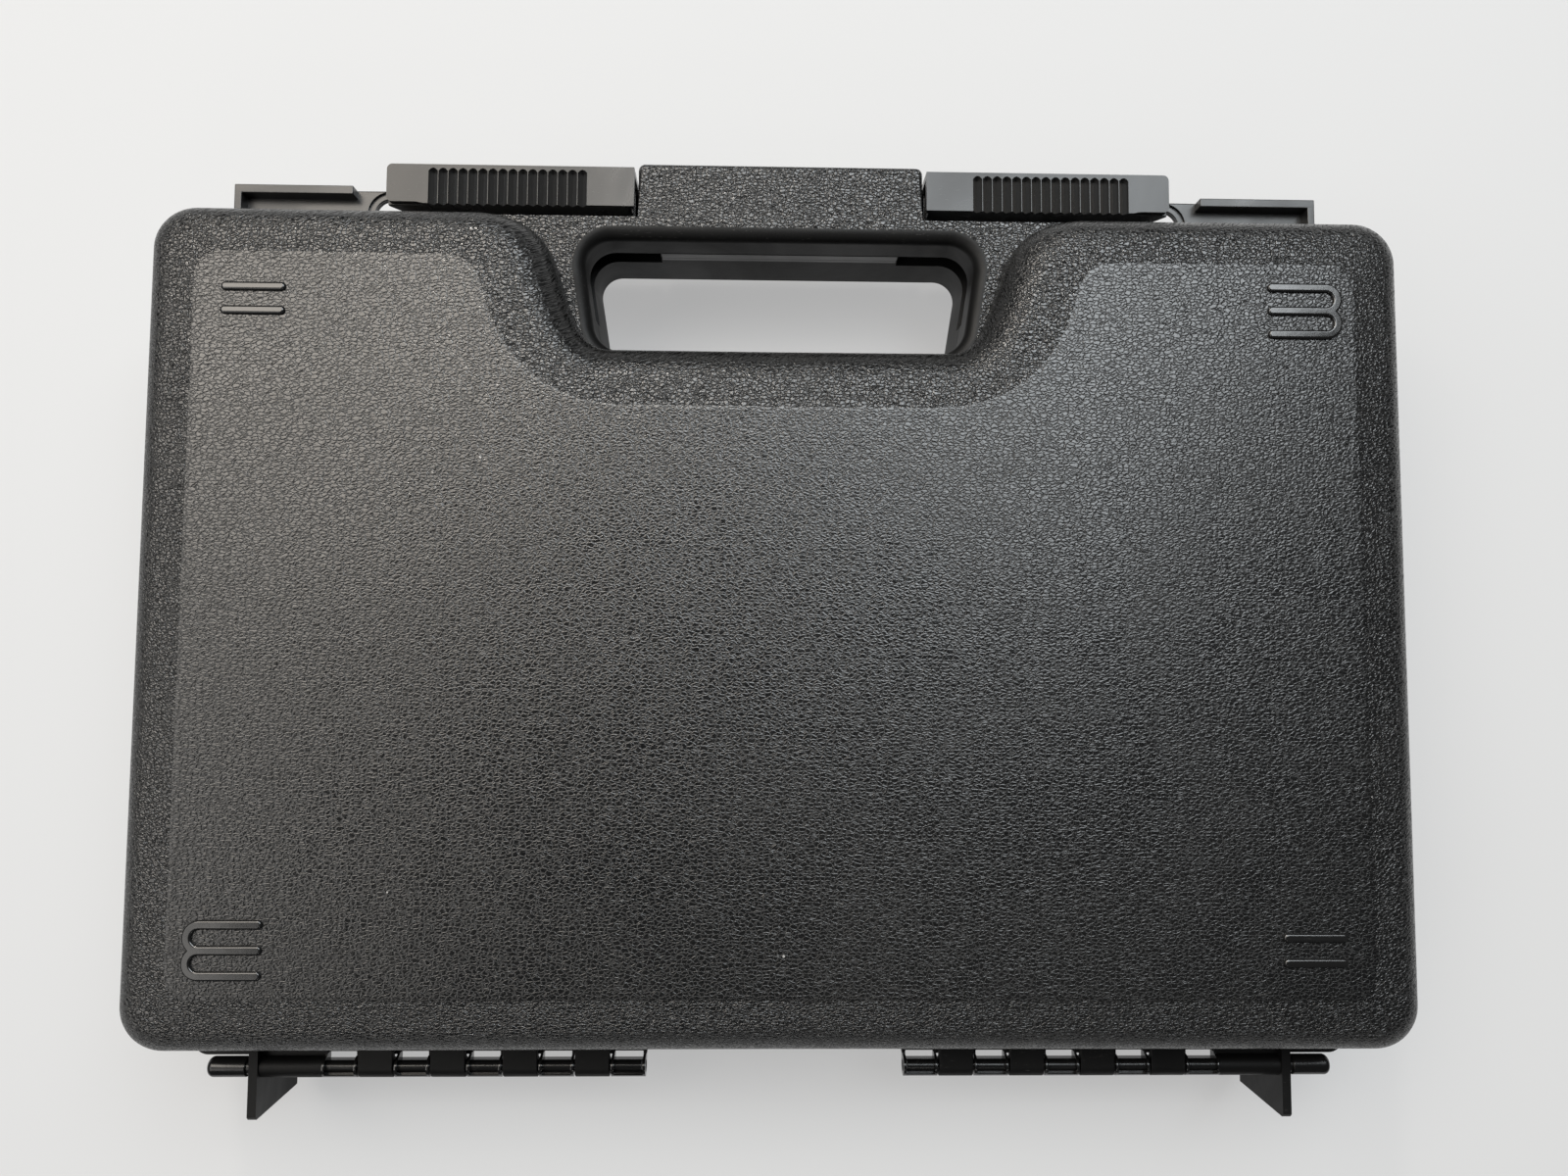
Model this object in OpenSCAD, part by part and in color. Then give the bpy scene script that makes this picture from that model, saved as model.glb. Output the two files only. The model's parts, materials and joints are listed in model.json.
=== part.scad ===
// Hard case for a laptop: two moulded half shells on a pin hinge, with two sliding latches.
// The case lies on its back. +X is to the right, +Y points to the carrying grip, +Z out of the lid.

/* [Case] */
// Width over the rims
body_w = 400; // [392:2:410]
// Height over the rims, from the hinge side to the grip side
body_d = 264; // [258:2:272]
// Thickness of the closed case, without the stacking ridges
body_t = 80; // [76:1:86]
// Wall of both shells
wall = 2.5; // [2:0.1:3]
// Corner radius of the rim in plan
corner_r = 14; // [10:1:18]
// Radius of the rounding between the side and the band round the flat face
round_r = 12; // [10:0.5:13]
// Distance from the side to the edge of the flat face
face_in = 19; // [17:1:22]
// Height of the stacking ridges
ridge_t = 1; // [0.6:0.1:1.5]

/* [Grip] */
// Thickness of the closed grip
grip_t = 37; // [34:1:40]
// Half width of the recess where it meets the top rim
recess_x = 98; // [94:1:104]
// Depth of the recess below the top rim
recess_d = 44; // [40:1:46]
// Half width of the hand opening
hand_x = 65; // [60:1:66]
// Height of the bar between the hand opening and the latches
bar_d = 8.2; // [8:0.2:9]
// Half width of the block between the latches
block_x = 47.5; // [44:0.5:48]
// Reach of that block past the top rim
block_reach = 21.5; // [20:0.5:22]

/* [Latches] */
// Length of one slider
slider_l = 82; // [78:1:83]
// Height of the slider's front face
slider_d = 13.3; // [12.5:0.1:14]
// Thickness of its front plate
slider_t = 2.5; // [2:0.1:3]
// Finger grooves in one slider
groove_n = 16; // [10:1:18]
// Distance between two grooves
groove_pitch = 3.3; // [3.2:0.1:3.5]
// How far a slider moves outward to open
travel = 12; // [11:0.5:12]
// Radius of the padlock hole
padlock_r = 5.6; // [4:0.1:6]
// Radius of the edges between a latch's face and its top, and of the block beside it
edge_r = 2.5; // [1.5:0.5:3]

/* [Hinge] */
// Diameter of the hinge pins
pin_d = 4; // [3:0.5:4]
// Radius of the knuckles
knuckle_r = 3.4; // [3.3:0.1:3.6]
// Knuckles in one hinge, counting both shells
knuckle_n = 9; // [5:2:9]
// Reach of the fin feet past the bottom rim
fin_reach = 29.5; // [28:0.5:32]

/* [Padding] */
// Thickness of the flat pad in the base
pad_t = 14; // [13:1:16]
// Width of the laptop pocket
pocket_w = 332; // [310:2:336]
// Height of the laptop pocket
pocket_d = 206; // [190:2:208]
// Depth of the lid pad from its back to its peaks
crate_t = 20; // [16:1:24]

/* [Hidden] */

charcoal = [0.14, 0.14, 0.15];
gloss_black = [0.06, 0.06, 0.07];
foam_grey = [0.24, 0.24, 0.26];

rx = body_w / 2;
ry = body_d / 2;
half_t = body_t / 2;
draft = 0.7;
// The band between the rounding and the flat face lies a little lower than the face
band_drop = 0.5;
// Heights above the parting plane where the rounding starts, and of the grip's front
round_z0 = half_t - band_drop - round_r;
grip_z = grip_t / 2;
// Distance that the bounding box's middle lies from the rims' middle
shift_y = (fin_reach - block_reach) / 2;
mid_z = half_t + ridge_t;

// Recess: where its wall starts at the grip, and where it ends at the face
waist_x = hand_x + 9;
floor_x = hand_x - 10;
floor_y = ry - recess_d;
// Distance from the recess wall to the edge of the flat face
recess_in = 22;
flange_t = 2.5;
flange_reach = 17;

// Latch places
slider_x0 = block_x + 1.5;
slider_x1 = slider_x0 + slider_l;
slider_y1 = ry + block_reach - 1;
slider_y0 = slider_y1 - slider_d;
slider_z1 = grip_z - 1;
rail_z = 7.5;
rail_x0 = block_x + 4.5;
rail_x1 = slider_x1 - 7;
rail_t = 2;
rail_y1 = ry + 9.5;
head_t = 1.6;
head_d = 4.8;
gap = 0.3;
// The strip that the hooks hold ends just below the slider's face
strip_y1 = slider_y0 - 0.8;
hook_w = 10;
hook_t = 2.6;
hook_n = 3;
hook_pitch = 24;
hook_x1 = slider_x1 - 19;

// Hinge places
hinge_drop = 13.5;
hinge_y = -ry - hinge_drop;
hinge_x0 = 42.3;
hinge_x1 = 148.2;
knuckle_l = (hinge_x1 - hinge_x0) / knuckle_n;
web_reach = 9.8;
web_r = 5;
fin_x0 = 168.2;
fin_x1 = 171.1;
head_x1 = 185.4;

// Tab places
padlock_x = slider_x1 + 3.2;
padlock_y = ry + 9.2;
tab_x0 = padlock_x - 8.8;
rib_x1 = 185.4;
rib_x0 = 145.4;
ridge_x = 165;
ridge_y = 99;
ridge_w = 2.3;
ridge_pitch = 7.5;

// Hand opening and the bar above it
hand_y1 = ry - 4;
hand_y0 = floor_y + 2.3;
bar_y1 = hand_y1 + bar_d;

// Points on an arc
function arc(cx, cy, r, a0, a1, n) =
    [for (i = [0:n]) let (a = a0 + (a1 - a0) * i / n) [cx + r * cos(a), cy + r * sin(a)]];
// Points on a smooth curve with two control points, without its last point
function curve(a, b, c, d, n) =
    [for (i = [0:n - 1]) let (t = i / n, u = 1 - t)
        a * u * u * u + 3 * b * u * u * t + 3 * c * u * t * t + d * t * t * t];
function flip(p) = [-p[0], p[1]];
// The whole outline from its right half, which starts and ends on the middle line
function both_sides(half) =
    concat(half, [for (i = [len(half) - 2:-1:1]) flip(half[i])]);
function unit(v) = v / norm(v);
// Inward direction at each point of a loop that runs anticlockwise
function inward(loop) =
    [for (i = [0:len(loop) - 1])
        let (a = loop[(i + len(loop) - 1) % len(loop)], b = loop[(i + 1) % len(loop)], t = unit(b - a))
        [-t[1], t[0]]];
function inset(loop, d) = loop + inward(loop) * d;

// Right half of the rim, with the wall of the recess
rim_half = concat(
    [[0, -ry]],
    arc(rx - corner_r, -ry + corner_r, corner_r, -90, 0, 6),
    arc(rx - corner_r, ry - corner_r, corner_r, 0, 90, 6),
    curve([recess_x, ry], [recess_x - 12, ry], [waist_x + 3, ry - 5], [waist_x, ry - 12], 5),
    curve([waist_x, ry - 12], [waist_x - 4.5, ry - 24], [floor_x + 11, floor_y], [floor_x, floor_y], 7),
    [[floor_x, floor_y], [0, floor_y]]);
// Right half of the flat face's edge, point for point
face_r = 8;
fx = rx - face_in;
fy = ry - face_in;
face_half = concat(
    [[0, -fy]],
    arc(fx - face_r, -fy + face_r, face_r, -90, 0, 6),
    arc(fx - face_r, fy - face_r, face_r, 0, 90, 6),
    curve([recess_x + 8, fy], [recess_x + 1, fy], [waist_x + 22, fy - 4], [waist_x + 20.5, fy - 10], 5),
    curve([waist_x + 20.5, fy - 10], [waist_x + 16, fy - 29], [floor_x + 22, floor_y - recess_in],
          [floor_x - 9, floor_y - recess_in], 7),
    [[floor_x - 9, floor_y - recess_in], [0, floor_y - recess_in]]);

rim = both_sides(rim_half);
face = both_sides(face_half);

// One ring of the outer or inner skin: a is 0 where the rounding starts and 90 where it ends
function ring(side, r, a, z_off) =
    [for (i = [0:len(side) - 1])
        let (p = side[i] + unit(face[i] - side[i]) * (draft + (r - draft) * (1 - cos(a))))
        [p[0], p[1], round_z0 + (half_t - band_drop - z_off - round_z0) * sin(a)]];
function flat_ring(loop, z) = [for (p = loop) [p[0], p[1], z]];

// Side faces between ring k and the next one; a loop has n points
function band(k0, k1, n) =
    [for (i = [0:n - 1]) each let (j = (i + 1) % n)
        [[k0 * n + i, k1 * n + i, k1 * n + j], [k0 * n + i, k1 * n + j, k0 * n + j]]];

// One moulded half shell, open at the parting plane z = 0: a curved wall round a flat plate
module half_shell() {
    n = len(rim);
    outer_a = [0:18:90];
    inner_a = [90:-30:0];
    inner_rim = inset(rim, wall);
    rings = concat(
        [flat_ring(rim, 0)],
        [for (a = outer_a) ring(rim, round_r, a, 0)],
        [flat_ring(face, half_t), flat_ring(face, half_t - wall)],
        [for (a = inner_a) ring(inner_rim, round_r - wall, a, wall)],
        [flat_ring(inner_rim, 0)]);
    last = len(rings) - 1;
    faces = [for (k = [0:last]) each band(k, (k + 1) % (last + 1), n)];
    polyhedron([for (r = rings) each r], faces, convexity = 8);
    translate([0, 0, half_t - wall]) linear_extrude(wall) polygon(face);
}

// Right half of the grip's outline; its inner edge lies inside the recess wall
module grip_plan(d) {
    inner = inset(rim, wall / 2);
    n_half = len(rim_half);
    edge = [for (i = [n_half - 1:-1:15]) inner[i]];
    r = 4;
    outer = concat(
        [[recess_x + 3, ry - wall / 2], [recess_x - 3, bar_y1], [block_x, bar_y1]],
        arc(block_x - r, ry + block_reach - r, r, 0, 90, 5),
        [[0, ry + block_reach]]);
    offset(delta = -d) union() {
        polygon(concat(edge, outer));
        mirror([1, 0]) polygon(concat(edge, outer));
    }
}

// Puts a right-hand shape on the right (1) or mirrored on the left (-1)
module on_side(s) {
    if (s > 0) children();
    else mirror([1, 0, 0]) children();
}

// Hand opening: straight sides that close in towards the case, with round corners
function hand_half(d) = concat(
    [[0, hand_y0 - d]],
    arc(hand_x - 13, hand_y0 + 10, 10 + d, -90, -12, 5),
    arc(hand_x - 9, hand_y1 - 9, 9 + d, -8, 90, 6),
    [[0, hand_y1 + d]]);
module hand_plan(d) { polygon(both_sides(hand_half(d))); }

// Flare of the hand opening's mouth, as a stack of rings above z = 0
module hand_mouth(r) {
    steps = 4;
    loops = [for (k = [0:steps]) let (a = 90 * k / steps)
        flat_ring(both_sides(hand_half(r * (1 - cos(a)))), grip_z - r + r * sin(a))];
    n = len(loops[0]);
    top = flat_ring(both_sides(hand_half(r)), grip_z + 1);
    points = concat([for (l = loops) each l], top);
    polyhedron(points, concat(
        [[for (i = [0:n - 1]) i]],
        [for (k = [0:steps]) each band(k, k + 1, n)],
        [[for (i = [n - 1:-1:0]) (steps + 1) * n + i]]), convexity = 4);
}

// What rounds an edge away: the edge runs along X at z = 0, with the solid behind it and below it
module edge_round(l) {
    translate([0, -edge_r, -edge_r]) difference() {
        cube([l, edge_r + 1, edge_r + 1]);
        translate([-1, 0, 0]) rotate([0, 90, 0]) cylinder(r = edge_r, h = l + 2, $fn = 32);
    }
}

// Half of the grip: a hollow bar and block, open at the parting plane, with a wall round the opening
module grip_half() {
    mouth_r = 4;
    slot_z = 4;
    slot_x = 41;
    difference() {
        linear_extrude(grip_z) grip_plan(0);
        translate([0, 0, -1]) linear_extrude(grip_z - wall + 1)
            difference() { grip_plan(wall); hand_plan(wall); }
        translate([0, 0, -1]) linear_extrude(grip_z + 2) hand_plan(0);
        hand_mouth(mouth_r);
        // Slot beside the middle, where the two grip walls stay apart
        for (s = [-1, 1]) on_side(s)
            translate([slot_x, hand_y0 + 14, -1])
                cube([hand_x - slot_x + 1, hand_y1 + wall - hand_y0 - 13.5, slot_z + 1]);
        // Rounded front edges of the block
        translate([-block_x - 1, ry + block_reach, grip_z]) edge_round(2 * block_x + 2);
        for (s = [-1, 1]) on_side(s)
            translate([block_x, ry + block_reach + 1, grip_z]) rotate(-90) edge_round(block_reach - 4);
    }
}

// Flat strips past the top rim: a tab with the padlock hole and a thin strip that the latch grips
module tab_plan() {
    translate([tab_x0, ry - 1]) square([rib_x1 - tab_x0, flange_reach + 1]);
}
module tabs() {
    rib_w = 3;
    rib_t = 5;
    ring_r = padlock_r + 2;
    ring_t = 1.1;
    for (s = [-1, 1]) on_side(s) difference() {
        union() {
            linear_extrude(flange_t) tab_plan();
            translate([rib_x0, ry + flange_reach - rib_w, 0])
                cube([rib_x1 - rib_x0, rib_w, flange_t + rib_t]);
            translate([rib_x1 - flange_t, ry - 1, 0]) cube([flange_t, flange_reach + 1, flange_t + rib_t]);
        }
        translate([padlock_x, padlock_y, -1]) cylinder(r = padlock_r, h = flange_t + 2, $fn = 48);
        translate([padlock_x, padlock_y, flange_t - ring_t]) cylinder(r = ring_r, h = 2, $fn = 48);
    }
}

// Strip along the grip's edge between the tab and the block, under the latch
module strip() {
    for (s = [-1, 1]) on_side(s)
        translate([block_x - 1, ry - 1, 0]) cube([tab_x0 - block_x + 1.2, strip_y1 - ry + 1, flange_t]);
}

// Left end of hook i on one side, with the latch closed
function hook_x(i) = hook_x1 - hook_w - i * hook_pitch;

// Ridges that lock stacked cases together: two bars, or three bars joined at one end.
// Each outline starts from the bars' left ends, which are round.
bar_x0 = ridge_x - 11.5 + ridge_w / 2;
bar_x1 = ridge_x + 8.5 - ridge_w / 2;
function left_end(y) = arc(bar_x0, y, ridge_w / 2, 270, 90, 6);
module ridge(outline) {
    translate([0, ridge_y, -wall / 2]) linear_extrude(wall / 2 + ridge_t) polygon(outline);
}
module two_bars() {
    for (y = [-ridge_pitch / 2, ridge_pitch / 2])
        ridge(concat(left_end(y), arc(bar_x1, y, ridge_w / 2, 90, -90, 6)));
}
module three_bars() {
    half_p = ridge_pitch / 2;
    outer_r = half_p + ridge_w / 2;
    inner_r = half_p - ridge_w / 2;
    // The two outer turns meet in a notch at this angle
    notch_a = asin(half_p / outer_r);
    ridge(concat(
        arc(bar_x1, half_p, outer_r, 90, -notch_a, 8),
        arc(bar_x1, -half_p, outer_r, notch_a - 10, -90, 8),
        left_end(-ridge_pitch), arc(bar_x1, -half_p, inner_r, -90, 90, 6),
        left_end(0), arc(bar_x1, half_p, inner_r, -90, 90, 6),
        left_end(ridge_pitch)));
}
// Both marks lie on diagonals, so that a turned case meshes with its neighbour
module ridges(flipped) {
    translate([0, 0, half_t]) on_side(flipped ? -1 : 1) {
        three_bars();
        rotate(180) three_bars();
        mirror([1, 0, 0]) two_bars();
        mirror([0, 1, 0]) two_bars();
    }
}

// Hinge knuckle i on the right side; ring and arm are in the parting plane's own frame
module knuckle(i, up, bore_r) {
    side_gap = 0.25;
    x0 = hinge_x0 + i * knuckle_l + side_gap;
    l = knuckle_l - 2 * side_gap;
    arm_y = -ry + wall / 2;
    difference() {
        union() {
            translate([x0, hinge_y, 0]) rotate([0, 90, 0]) cylinder(r = knuckle_r, h = l, $fn = 48);
            translate([x0, hinge_y, up ? 0.2 : -knuckle_r]) cube([l, arm_y - hinge_y, knuckle_r - 0.2]);
        }
        translate([x0 - 1, hinge_y, 0]) rotate([0, 90, 0]) cylinder(r = bore_r, h = l + 2, $fn = 48);
    }
}

// A fin foot: stands out past the hinge and stops the opened lid
module fin() {
    top_z = 4;
    foot_z = -31;
    translate([fin_x0, 0, 0]) rotate([90, 0, 90]) linear_extrude(fin_x1 - fin_x0) polygon([
        [-ry + wall / 2, -0.1], [-ry - 0.8, -0.1], [-ry - 0.8, top_z],
        [-ry - fin_reach + 1, top_z], [-ry - fin_reach, top_z - 1], [-ry - fin_reach, foot_z],
        [-ry + wall, foot_z], [-ry + wall / 2, -round_z0]]);
}

// Web along the bottom rim that carries the hinge and the fins
module hinge_web() {
    for (s = [-1, 1]) on_side(s) {
        translate([0, 0, -wall]) linear_extrude(wall) polygon(concat(
            [[hinge_x0, -ry + wall / 2], [hinge_x0, -ry - web_reach]],
            arc(rx - corner_r, -ry - web_reach + web_r, web_r, -90, -20, 4),
            [[rx - corner_r + web_r + 1, -ry + wall / 2]]));
    }
}

module base_shell() {
    color(charcoal) frame_place() difference() {
        union() {
            mirror([0, 0, 1]) { half_shell(); grip_half(); tabs(); ridges(true); }
            mirror([0, 0, 1]) difference() {
                strip();
                for (s = [-1, 1]) on_side(s) for (i = [0:hook_n - 1])
                    translate([hook_x(i) + travel - 2 * gap, bar_y1, -1]) cube([hook_w + 4 * gap, 10, 5]);
            }
            hinge_web();
            for (s = [-1, 1]) on_side(s) {
                for (i = [0:2:knuckle_n - 1]) knuckle(i, false, pin_d / 2);
                fin();
                // Plain barrel between the last knuckle and the fin
                translate([hinge_x1 - gap, hinge_y, 0]) rotate([0, 90, 0])
                    cylinder(r = knuckle_r, h = fin_x0 - hinge_x1 + 2 * gap, $fn = 48);
                translate([hinge_x1 - gap, hinge_y, -knuckle_r])
                    cube([fin_x0 - hinge_x1 + 2 * gap, hinge_drop + 0.5, knuckle_r - 0.2]);
            }
        }
        // Bore for the pin through the fin and the outer barrel
        for (s = [-1, 1]) on_side(s)
            translate([hinge_x1 - 0.5, hinge_y, 0]) rotate([0, 90, 0])
                cylinder(r = pin_d / 2, h = fin_x1 - hinge_x1 + 2, $fn = 48);
        // Troughs: the base knuckles are open to the front between pin and rim
        for (s = [-1, 1]) on_side(s) for (i = [0:2:knuckle_n - 1])
            translate([hinge_x0 + i * knuckle_l + 1.6, hinge_y - knuckle_r + 1, 0.4])
                cube([knuckle_l - 3.2, hinge_drop + knuckle_r, knuckle_r + 1]);
    }
}

module lid_shell() {
    lid_bore = pin_d / 2 + 0.06;
    color(charcoal) frame_place() union() {
        half_shell();
        grip_half();
        tabs();
        strip();
        ridges(false);
        for (s = [-1, 1]) on_side(s) {
            for (i = [1:2:knuckle_n - 2]) knuckle(i, true, lid_bore);
            // T rail that the slider rides on
            translate([rail_x0, ry - 1, rail_z - rail_t / 2])
                cube([rail_x1 - rail_x0, rail_y1 - ry + 1, rail_t]);
            translate([rail_x0, rail_y1, rail_z - head_d / 2]) cube([rail_x1 - rail_x0, head_t, head_d]);
        }
    }
}

// Moves a piece from the parting plane's frame to the part's own frame
module frame_place() { translate([0, shift_y, mid_z]) children(); }

module hinge_pin() {
    head_r = knuckle_r - 0.1;
    neck = 1.5;
    end_t = 2;
    translate([hinge_x0 + neck, hinge_y, 0]) rotate([0, 90, 0]) {
        cylinder(d = pin_d, h = fin_x1 - hinge_x0, $fn = 48);
        translate([0, 0, fin_x1 - hinge_x0 - neck]) cylinder(r = head_r - 0.7, h = 2, $fn = 48);
        translate([0, 0, fin_x1 - hinge_x0])
            cylinder(r = head_r, h = head_x1 - fin_x1 - neck - end_t, $fn = 48);
        translate([0, 0, head_x1 - hinge_x0 - neck - end_t])
            cylinder(r1 = head_r, r2 = head_r - 1.4, h = end_t, $fn = 48);
    }
}
module hinge_pin_left() { color(gloss_black) frame_place() mirror([1, 0, 0]) hinge_pin(); }
module hinge_pin_right() { color(gloss_black) frame_place() hinge_pin(); }

// Slider section across its travel, drawn as Y and Z from the parting plane
module along_x(x0, x1) { translate([x0, 0, 0]) rotate([90, 0, 90]) linear_extrude(x1 - x0) children(); }
module slider() {
    web = 2;
    back_z = -grip_z + 1;
    y0 = slider_y0;
    y1 = slider_y1;
    z1 = slider_z1;
    lip_x0 = slider_x0 + 1;
    lip_x1 = slider_x1 - 7;
    lip_y1 = rail_y1 - gap;
    lip_z1 = z1 - slider_t + 0.2;
    shelf_z0 = flange_t + 0.5;
    shelf_z1 = shelf_z0 + 1.7;
    over_rail = rail_z + rail_t / 2 + gap;
    under_rail = rail_z - rail_t / 2 - gap;
    hook_y0 = bar_y1 + gap;
    hook_z1 = -flange_t - gap;
    groove_r = 1.2;
    groove_x0 = slider_x0 + 17.2;
    groove_l = slider_d - 1.7;
    difference() {
        union() {
            // Front plate and web, with the rounded upper edge
            along_x(slider_x0, slider_x1) polygon(concat(
                [[y0, z1 - slider_t], [y0, z1], [y1 - edge_r, z1]],
                [for (a = [75:-15:0]) [y1 - edge_r + edge_r * cos(a), z1 - edge_r + edge_r * sin(a)]],
                [[y1, shelf_z0], [y1 - web, shelf_z0], [y1 - web, z1 - slider_t]]));
            // Web down to the back plate, cut back where the padlock goes
            along_x(slider_x0, hook_x1) polygon(
                [[y1 - web, shelf_z0 + 1], [y1, shelf_z0 + 1], [y1, back_z], [y0 + gap, back_z],
                 [y0 + gap, back_z + slider_t], [y1 - web, back_z + slider_t]]);
            // Lips on both sides of the lid's rail
            along_x(lip_x0, lip_x1) polygon(
                [[y0, lip_z1], [y0, over_rail], [lip_y1, over_rail], [lip_y1, lip_z1]]);
            along_x(lip_x0, lip_x1) polygon(
                [[y0 + gap, under_rail], [lip_y1, under_rail], [lip_y1, shelf_z1], [y1 - 1, shelf_z1],
                 [y1 - 1, shelf_z0], [y0 + gap, shelf_z0]]);
            // Hooks that hold the base's strip from behind
            for (i = [0:hook_n - 1]) along_x(hook_x(i), hook_x(i) + hook_w)
                translate([hook_y0, hook_z1 - hook_t]) square([y1 - 1 - hook_y0, hook_t]);
        }
        // Finger grooves, closed and rounded at the upper end
        for (i = [0:groove_n - 1]) translate([groove_x0 + i * groove_pitch, y0 - 1, z1 + 0.35]) {
            rotate([-90, 0, 0]) cylinder(r = groove_r, h = groove_l, $fn = 24);
            translate([0, groove_l, 0]) sphere(r = groove_r, $fn = 24);
        }
        // Slanted outer end, which leaves room for a padlock
        translate([slider_x1, 0, z1 - slider_t - 0.5]) rotate([0, 35, 0])
            translate([0, ry, -60]) cube([40, 40, 60]);
    }
}
module latch_slider_left() { color(gloss_black) frame_place() mirror([1, 0, 0]) slider(); }
module latch_slider_right() { color(gloss_black) frame_place() slider(); }

pad_gap = 0.6;
pad_back = half_t - wall - pad_gap;
pocket_x = pocket_w / 2;
pocket_y1 = floor_y - wall - 4;
pocket_y0 = pocket_y1 - pocket_d;

// Room for padding at a height above the parting plane, clear of the shell's wall
function pad_loop(d) = inset(rim, wall + d);

// What the recess takes out of the room for padding, near the flat face
module recess_room() {
    x = recess_x + 9;
    y = floor_y - recess_in - 2;
    translate([-x, y]) square([2 * x, 80]);
}

module base_pad() {
    side = 18;
    color(foam_grey) frame_place() translate([0, 0, -pad_back])
        linear_extrude(pad_t) difference() {
            offset(delta = -side) polygon(rim);
            recess_room();
        }
}

module pocket_frame() {
    z0 = -pad_back + pad_t + 0.4;
    color(foam_grey) frame_place() translate([0, 0, z0]) linear_extrude(-z0 - 1.5) difference() {
        polygon(pad_loop(2.4));
        translate([-pocket_x, pocket_y0]) square([pocket_w, pocket_d]);
    }
}

module lid_pad() {
    side = 19;
    back_t = crate_t - 9;
    cells = [11, 6];
    area_x = 2 * (rx - side - 4);
    area_y0 = -ry + side + 4;
    area_y1 = floor_y - recess_in - 2;
    pitch = [area_x / cells[0], (area_y1 - area_y0) / cells[1]];
    color(foam_grey) frame_place() {
        translate([0, 0, pad_back - back_t]) linear_extrude(back_t) difference() {
            offset(delta = -side) polygon(rim);
            recess_room();
        }
        // Peaks of the wavy side
        for (i = [0:cells[0] - 1]) for (j = [0:cells[1] - 1])
            translate([-area_x / 2 + (i + 0.5) * pitch[0], area_y0 + (j + 0.5) * pitch[1], pad_back - back_t])
                mirror([0, 0, 1]) cylinder(r1 = 14, r2 = 5, h = crate_t - back_t, $fn = 8);
    }
}

base_shell();
lid_shell();
hinge_pin_left();
hinge_pin_right();
latch_slider_left();
latch_slider_right();
base_pad();
pocket_frame();
lid_pad();
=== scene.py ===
"""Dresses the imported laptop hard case: moulded half shells, sliding latches, hinge pins and foam."""
import json
import logging
import math
from contextlib import contextmanager
from dataclasses import dataclass, field
from enum import Enum, IntEnum
from typing import Callable, Iterator, Sequence

import bmesh
import bpy
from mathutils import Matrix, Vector


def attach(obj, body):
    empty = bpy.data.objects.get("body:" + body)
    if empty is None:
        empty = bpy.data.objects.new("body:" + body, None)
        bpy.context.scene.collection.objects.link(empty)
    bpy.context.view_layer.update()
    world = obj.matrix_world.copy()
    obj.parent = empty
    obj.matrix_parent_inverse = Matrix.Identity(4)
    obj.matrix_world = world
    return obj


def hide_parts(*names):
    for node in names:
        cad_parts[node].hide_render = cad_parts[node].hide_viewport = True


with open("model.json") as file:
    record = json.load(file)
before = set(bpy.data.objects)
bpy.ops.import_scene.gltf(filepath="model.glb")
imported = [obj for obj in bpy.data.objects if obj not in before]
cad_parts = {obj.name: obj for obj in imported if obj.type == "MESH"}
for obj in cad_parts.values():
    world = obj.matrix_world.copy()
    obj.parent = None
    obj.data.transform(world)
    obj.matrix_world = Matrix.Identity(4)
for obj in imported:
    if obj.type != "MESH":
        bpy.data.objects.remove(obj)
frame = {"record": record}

log = logging.getLogger("hard_case")

Point = tuple[float, float]
Loop = list[Point]
Ring = list[tuple[float, float, float]]
EdgeTest = Callable[[Vector, Vector], bool]
Obj = bpy.types.Object
Materials = Sequence[bpy.types.Material]
Socket = bpy.types.NodeSocket

MM = 0.001


class Half(Enum):
    """The two half shells, by the CAD node that each one stands for."""

    LID = "lid_shell"
    BASE = "base_shell"


class Side(Enum):
    """The two ends of the case, by the sign of X."""

    LEFT = -1
    RIGHT = 1


class Skin(IntEnum):
    """Material slots of a moulded half shell."""

    GRAINED = 0
    SATIN = 1
    GLOSS = 2
    MATTE = 3


# Outlines in the parting plane's frame, in millimetres

def arc(cx: float, cy: float, r: float, start: float, end: float, steps: int) -> Loop:
    """Points on an arc.

    Args:
        cx: Centre, across.
        cy: Centre, up.
        r: Radius.
        start: First angle in degrees.
        end: Last angle in degrees.
        steps: Number of chords.

    Returns:
        The points, both ends included.
    """
    angles = (math.radians(start + (end - start) * i / steps) for i in range(steps + 1))
    return [(cx + r * math.cos(a), cy + r * math.sin(a)) for a in angles]


def curve(a: Point, b: Point, c: Point, d: Point, steps: int) -> Loop:
    """Points on a smooth curve with two control points.

    Args:
        a: Start.
        b: First control point.
        c: Second control point.
        d: End, which is left out of the result.
        steps: Number of points.

    Returns:
        The points from the start on.
    """
    loop = []
    for i in range(steps):
        t = i / steps
        u = 1 - t
        loop.append(tuple(a[k] * u ** 3 + 3 * b[k] * u * u * t + 3 * c[k] * u * t * t + d[k] * t ** 3
                          for k in (0, 1)))
    return loop


def both_sides(half: Loop) -> Loop:
    """The whole outline from its right half, which starts and ends on the middle line."""
    return half + [(-x, y) for x, y in reversed(half[1:-1])]


def inset(loop: Loop, distance: float) -> Loop:
    """An outline moved inwards along its own normals.

    Args:
        loop: Outline that runs anticlockwise.
        distance: How far it moves in millimetres.

    Returns:
        The moved outline, point for point.
    """
    moved = []
    for i, (x, y) in enumerate(loop):
        ax, ay = loop[i - 1]
        bx, by = loop[(i + 1) % len(loop)]
        length = math.hypot(bx - ax, by - ay)
        moved.append((x - (by - ay) / length * distance, y + (bx - ax) / length * distance))
    return moved


def at_height(loop: Loop, z: float) -> Ring:
    """An outline as a level ring at height z."""
    return [(x, y, z) for x, y in loop]


# Mesh steps, done as by hand

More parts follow.
